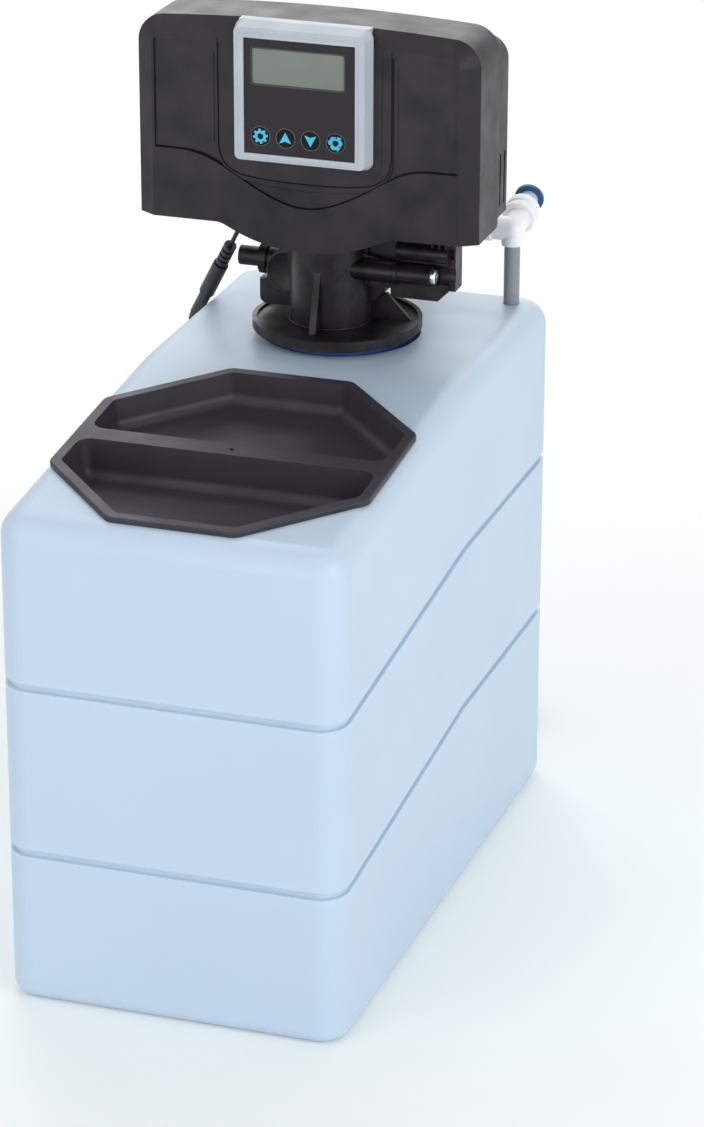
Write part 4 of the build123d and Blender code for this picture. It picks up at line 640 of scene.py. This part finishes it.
def rounded_ring(low: tuple[float, float], high: tuple[float, float], corner: float, band: float, front: float,
                 back: float, cut_top: float | None = None) -> bmesh.types.BMesh:
    """A rim with rounded corners in X and Z.

    Args:
        low: Lowest X and Z of its outline in millimetres.
        high: Highest X and Z of its outline.
        corner: Corner radius.
        band: Width of the rim.
        front: Y of its front.
        back: Y of its back.
        cut_top: Z above which nothing is kept, or None.

    Returns:
        Its bmesh, in metres.
    """
    mesh = bmesh.new()
    bmesh.ops.create_grid(mesh, x_segments=1, y_segments=1, size=0.5, matrix=UPRIGHT)
    bmesh.ops.scale(mesh, vec=((high[0] - low[0]) * MM, 1, (high[1] - low[1]) * MM), verts=mesh.verts)
    bmesh.ops.bevel(mesh, geom=mesh.verts[:], offset=corner * MM, segments=8, profile=0.5, affect="VERTICES",
                    material=-1)
    bmesh.ops.inset_region(mesh, faces=mesh.faces[:], thickness=band * MM, use_boundary=True, use_even_offset=True)
    middle = max(mesh.faces, key=lambda f: len(f.verts))
    bmesh.ops.delete(mesh, geom=[middle], context="FACES")
    out = bmesh.ops.extrude_face_region(mesh, geom=mesh.faces[:])
    moved = [v for v in out["geom"] if isinstance(v, bmesh.types.BMVert)]
    bmesh.ops.translate(mesh, verts=moved, vec=(0, (front - back) * MM, 0))
    edges = [e for e in mesh.edges if all(v in moved for v in e.verts) and len(e.link_faces) == 2
             and abs(e.link_faces[0].normal.dot(e.link_faces[1].normal)) < 0.5]
    bmesh.ops.bevel(mesh, geom=edges, offset=band * 0.3 * MM, segments=2, profile=0.5, affect="EDGES", material=-1)
    centre = ((low[0] + high[0]) / 2 * MM, back * MM, (low[1] + high[1]) / 2 * MM)
    bmesh.ops.translate(mesh, verts=mesh.verts, vec=centre)
    if cut_top is not None:
        geom = mesh.verts[:] + mesh.edges[:] + mesh.faces[:]
        bmesh.ops.bisect_plane(mesh, geom=geom, plane_co=(0, 0, cut_top * MM), plane_no=(0, 0, 1), clear_outer=True)
    return mesh


def ring(radius: float, bead: float, centre: Vector, turn: Matrix) -> bmesh.types.BMesh:
    """A round ring of round section, flat in X and Y before its turn.

    Args:
        radius: Radius of its middle line in millimetres.
        bead: Radius of its section.
        centre: Its centre.
        turn: Its turn.

    Returns:
        Its bmesh, in metres.
    """
    mesh = bmesh.new()
    place = Matrix.Translation((radius * MM, 0, 0)) @ UPRIGHT
    loop = bmesh.ops.create_circle(mesh, segments=10, radius=bead * MM, matrix=place)["verts"]
    edges = list({e for v in loop for e in v.link_edges})
    bmesh.ops.spin(mesh, geom=loop + edges, cent=(0, 0, 0), axis=(0, 0, 1), angle=math.tau, steps=72, use_merge=True)
    bmesh.ops.transform(mesh, matrix=Matrix.Translation(centre * MM) @ turn, verts=mesh.verts)
    return mesh


@dataclass
class PanelTrim:
    """Rims of the control panel: round the display, on the frame and round the keys."""

    display_band: float = 1.0
    display_lift: float = 0.3
    display_sink: float = 0.1
    display_corner: float = 0.8
    ridge_gap: float = 2.2
    ridge_band: float = 1.5
    ridge_lift: float = 0.45
    ridge_sink: float = 0.2
    ridge_corner: float = 3.0
    key_rim_radius: float = 6.2
    key_rim_band: float = 0.4

    def build(self) -> None:
        """Makes the rims."""
        low, high = (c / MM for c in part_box("display"))
        panel_low, panel_high = (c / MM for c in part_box("control_panel"))
        frame_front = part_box("control_frame")[0].y / MM
        grow = self.display_band
        mesh = rounded_ring((low.x - grow, low.z - grow), (high.x + grow, high.z + grow), self.display_corner,
                            grow, panel_low.y - self.display_lift, panel_low.y + self.display_sink)
        object_from("display_rim", mesh, GLASS_EDGE, ROOT)
        grow = self.ridge_gap + self.ridge_band
        mesh = rounded_ring((panel_low.x - grow, panel_low.z - grow), (panel_high.x + grow, panel_high.z + grow),
                            self.ridge_corner, self.ridge_band, frame_front - self.ridge_lift,
                            frame_front + self.ridge_sink)
        object_from("frame_ridge", mesh, FRAME, ROOT)
        for icon in Icon:
            self._key_rim(icon, panel_low.y)
        log.info("panel rims: display, frame ridge and %d keys", len(Icon))

    def _key_rim(self, icon: Icon, panel_front: float) -> None:
        """A thin rim on the panel round a key, coloured light grey as a painted highlight on the key's edge.

        Args:
            icon: Which key.
            panel_front: Y of the panel's front in millimetres.
        """
        low, high = (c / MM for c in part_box("button_" + icon.value))
        centre = (low + high) / 2
        mesh = ring(self.key_rim_radius, self.key_rim_band / 2, Vector((centre.x, panel_front, centre.z)), UPRIGHT)
        object_from(f"key_rim_{icon.value}", mesh, KEY_RIM_HIGHLIGHT, ROOT, smooth=True)


def smooth_path(points: list[tuple[float, float]], steps: int) -> list[Vector]:
    """A Catmull-Rom curve through flat points.

    Args:
        points: The points that it passes.
        steps: Its stretches between two points.

    Returns:
        Points along the curve.
    """
    knots = [Vector(p) for p in points]
    knots = [2 * knots[0] - knots[1], *knots, 2 * knots[-1] - knots[-2]]
    path = []
    for a, b, c, d in zip(knots, knots[1:], knots[2:], knots[3:]):
        for i in range(steps):
            t = i / steps
            path.append(0.5 * (2 * b + (c - a) * t + (2 * a - 5 * b + 4 * c - d) * t ** 2
                               + (3 * b - 3 * c + d - a) * t ** 3))
    return [*path, knots[-2]]


def ribbon(path: list[Vector], half: float, front: float, back: float) -> bmesh.types.BMesh:
    """A fine flat-topped bead along a path in X and Z, a little wider at its foot.

    Args:
        path: The path's points in millimetres.
        half: Half its width.
        front: Y of its front.
        back: Y of its back.

    Returns:
        Its bmesh, in metres.
    """
    mesh = bmesh.new()
    rings = []
    for i, point in enumerate(path):
        along = (path[min(i + 1, len(path) - 1)] - path[max(i - 1, 0)]).normalized()
        side = Vector((-along.y, along.x))
        section = [(side * half * RIBBON_FOOT, back), (side * half, front), (-side * half, front),
                   (-side * half * RIBBON_FOOT, back)]
        rings.append([mesh.verts.new(((point.x + w.x) * MM, y * MM, (point.y + w.y) * MM)) for w, y in section])
    for one, two in zip(rings, rings[1:]):
        for i in range(4):
            j = (i + 1) % 4
            mesh.faces.new((one[i], one[j], two[j], two[i]))
    mesh.faces.new(rings[0])
    mesh.faces.new(rings[-1])
    return mesh


@dataclass
class CoverLines:
    """Dark strips painted as the shadow along the groove round the control field and the step over the apron on the
    cover's front, with fine beads beside them.
    """

    field: tuple[tuple[float, float], ...] = (
        (56.9, 552.0), (56.9, 520.0), (56.9, 492.0), (56.5, 482.0), (54.2, 474.3), (49.5, 469.6), (42.6, 466.3),
        (30.4, 464.4), (15.0, 463.5),
    )
    field_low: tuple[float, float] = (0.0, 463.3)
    sill: tuple[tuple[float, float], ...] = (
        (-37.0, 460.9), (-20.0, 458.8), (0.0, 458.0), (20.0, 458.8), (37.0, 460.9),
    )
    post: tuple[tuple[float, float], ...] = ((60.4, 543.0), (60.4, 515.0), (60.4, 486.0))
    apron: tuple[tuple[float, float], ...] = (
        (99.0, 478.9), (92.0, 478.9), (85.5, 478.9), (76.2, 478.45), (67.0, 476.6), (58.5, 473.0), (50.5, 468.3),
        (42.7, 463.4), (34.7, 458.7), (26.5, 454.5), (18.1, 450.95), (9.2, 448.4),
    )
    apron_low: tuple[float, float] = (0.0, 447.4)
    shadow_half: float = 0.25
    bead_half: float = 0.35
    field_front: float = 32.86
    field_back: float = 33.6
    apron_front: float = 33.25
    bead_front: float = 34.2
    bead_back: float = 34.8
    steps: int = 8

    def build(self) -> None:
        """Makes the dark strips painted as groove and step shadows, and the beads."""
        # A thin dark strip painted as the shadow in the groove round the control field.
        left = [(-x, z) for x, z in self.field]
        path = smooth_path([*self.field, self.field_low, *reversed(left)], self.steps)
        mesh = ribbon(path, self.shadow_half, self.field_front, self.field_back)
        object_from("field_groove_shadow", mesh, GROOVE_SHADOW, ROOT, smooth=True)
        # A thin dark strip painted as the shadow at the foot of the step over the apron.
        left = [(-x, z) for x, z in self.apron]
        path = smooth_path([*self.apron, self.apron_low, *reversed(left)], self.steps)
        mesh = ribbon(path, self.shadow_half, self.apron_front, self.bead_back)
        object_from("apron_groove_shadow", mesh, GROOVE_SHADOW, ROOT, smooth=True)
        beads = {"field_sill": self.sill, "field_post_right": self.post,
                 "field_post_left": tuple((-x, z) for x, z in self.post)}
        for name, points in beads.items():
            mesh = ribbon(smooth_path(list(points), self.steps), self.bead_half, self.bead_front, self.bead_back)
            object_from(name, mesh, COVER, ROOT, smooth=True)
        log.info("cover lines: round the field, over the apron and %d beads", len(beads))


@dataclass
class ValveTrim:
    """Round details of the valve: the port's end, the bead at the neck's foot and small clips."""

    port_centre: tuple[float, float, float] = (-34.5, 95.4, 384.0)
    port_radius: float = 13.6
    port_depth: float = 2.4
    port_rim: float = 1.5
    port_recess: float = 0.3
    port_edge: float = 0.4
    port_bead: float = 0.45
    port_bead_inset: float = 0.6
    port_bead_sink: float = 0.1
    sharp_angle: float = 0.8
    bead_centre: tuple[float, float, float] = (-4.0, 95.0, 356.5)
    bead_ring: float = 26.3
    bead_radius: float = 0.9
    clips: tuple[tuple[float, float, float], ...] = ((67.5, 85.6, 419.0), (72.0, 85.6, 419.0), (76.5, 85.6, 419.0))
    clip_size: tuple[float, float, float] = (3.0, 1.6, 2.2)
    post_size: tuple[float, float, float] = (1.6, 1.2, 6.0)
    clip_edge: float = 0.3

    def _port(self) -> None:
        """Makes the port's round end with its recessed face, and a thin lighter ring on it painted as its rim's
        highlight.
        """
        mesh = bmesh.new()
        bmesh.ops.create_circle(mesh, cap_ends=True, segments=64, radius=self.port_radius * MM, matrix=UPRIGHT)
        out = bmesh.ops.extrude_face_region(mesh, geom=mesh.faces[:])
        moved = [v for v in out["geom"] if isinstance(v, bmesh.types.BMVert)]
        bmesh.ops.translate(mesh, verts=moved, vec=(0, -self.port_depth * MM, 0))
        face = min(mesh.faces, key=lambda f: f.calc_center_median().y)
        bmesh.ops.inset_region(mesh, faces=[face], thickness=self.port_rim * MM)
        bmesh.ops.translate(mesh, verts=face.verts, vec=(0, self.port_depth * self.port_recess * MM, 0))
        edges = [e for e in mesh.edges if len(e.link_faces) == 2 and e.calc_face_angle(0) > self.sharp_angle]
        bmesh.ops.bevel(mesh, geom=edges, offset=self.port_edge * MM, segments=2, profile=0.5, affect="EDGES",
                        material=-1)
        centre = Vector(self.port_centre)
        bmesh.ops.translate(mesh, verts=mesh.verts, vec=centre * MM + Vector((0, self.port_depth * MM, 0)))
        object_from("port_end", mesh, VALVE, ROOT, smooth=True)
        # A thin ring on the port's face, coloured lighter as a painted highlight on its rim.
        centre.y += self.port_bead_sink
        mesh = ring(self.port_radius - self.port_bead_inset, self.port_bead, centre, UPRIGHT)
        object_from("port_rim", mesh, RIM_HIGHLIGHT, ROOT, smooth=True)

    def _bead(self) -> None:
        """Makes the bead at the neck's foot."""
        mesh = ring(self.bead_ring, self.bead_radius, Vector(self.bead_centre), Matrix.Identity(4))
        object_from("neck_bead", mesh, VALVE, ROOT, smooth=True)

    def _clip(self, number: int, place: tuple[float, float, float]) -> None:
        """Makes one small clip with its post on the injector's housing.

        Args:
            number: Its number.
            place: The middle of its head in millimetres.
        """
        foot = (place[0], place[1], place[2] - self.post_size[2] / 2)
        parts = (("clip_head", self.clip_size, place, BRIGHT_CLIP), ("clip_post", self.post_size, foot, VALVE))
        for name, size, middle, finish in parts:
            mesh = bmesh.new()
            bmesh.ops.create_cube(mesh, size=MM)
            bmesh.ops.scale(mesh, vec=size, verts=mesh.verts)
            bmesh.ops.bevel(mesh, geom=mesh.edges[:], offset=self.clip_edge * MM, segments=2, profile=0.5,
                            affect="EDGES", material=-1)
            bmesh.ops.translate(mesh, verts=mesh.verts, vec=Vector(middle) * MM)
            object_from(f"{name}_{number}", mesh, finish, ROOT)

    def build(self) -> None:
        """Makes the details."""
        self._port()
        self._bead()
        for number, place in enumerate(self.clips):
            self._clip(number, place)
        log.info("valve trim: port end, neck bead and %d clips", len(self.clips))


@dataclass
class ColletSleeve:
    """Pale sleeve over the collet's neck, between the elbow and the blue ring."""

    origin: tuple[float, float, float] = (88.8, 192.5, 396.0)
    tilt: float = 14.6
    start: float = 29.4
    end: float = 38.4
    radius: float = 6.2

    def build(self) -> None:
        """Makes the sleeve."""
        mesh = bmesh.new()
        length = self.end - self.start
        middle = (self.start + self.end) / 2
        lean = Matrix.Rotation(math.radians(self.tilt - 90), 4, "X")
        place = Matrix.Translation(Vector(self.origin) * MM) @ lean @ Matrix.Translation((0, 0, middle * MM))
        bmesh.ops.create_cone(mesh, cap_ends=True, segments=48, radius1=self.radius * MM, radius2=self.radius * MM,
                              depth=length * MM, matrix=place)
        object_from("collet_sleeve", mesh, SLEEVE, "collet", smooth=True)
        log.info("collet sleeve: %.1f mm", length)


def main() -> None:
    """Builds the scene, piece by piece."""
    logging.basicConfig(level=logging.INFO, format="%(message)s")
    PhotoCamera().build()
    Leads().build()
    Studio().build()
    CadFinishes().build()
    KeyIcons().build()
    PanelTrim().build()
    CoverLines().build()
    ValveTrim().build()
    ColletSleeve().build()


if __name__ == "__main__":
    main()
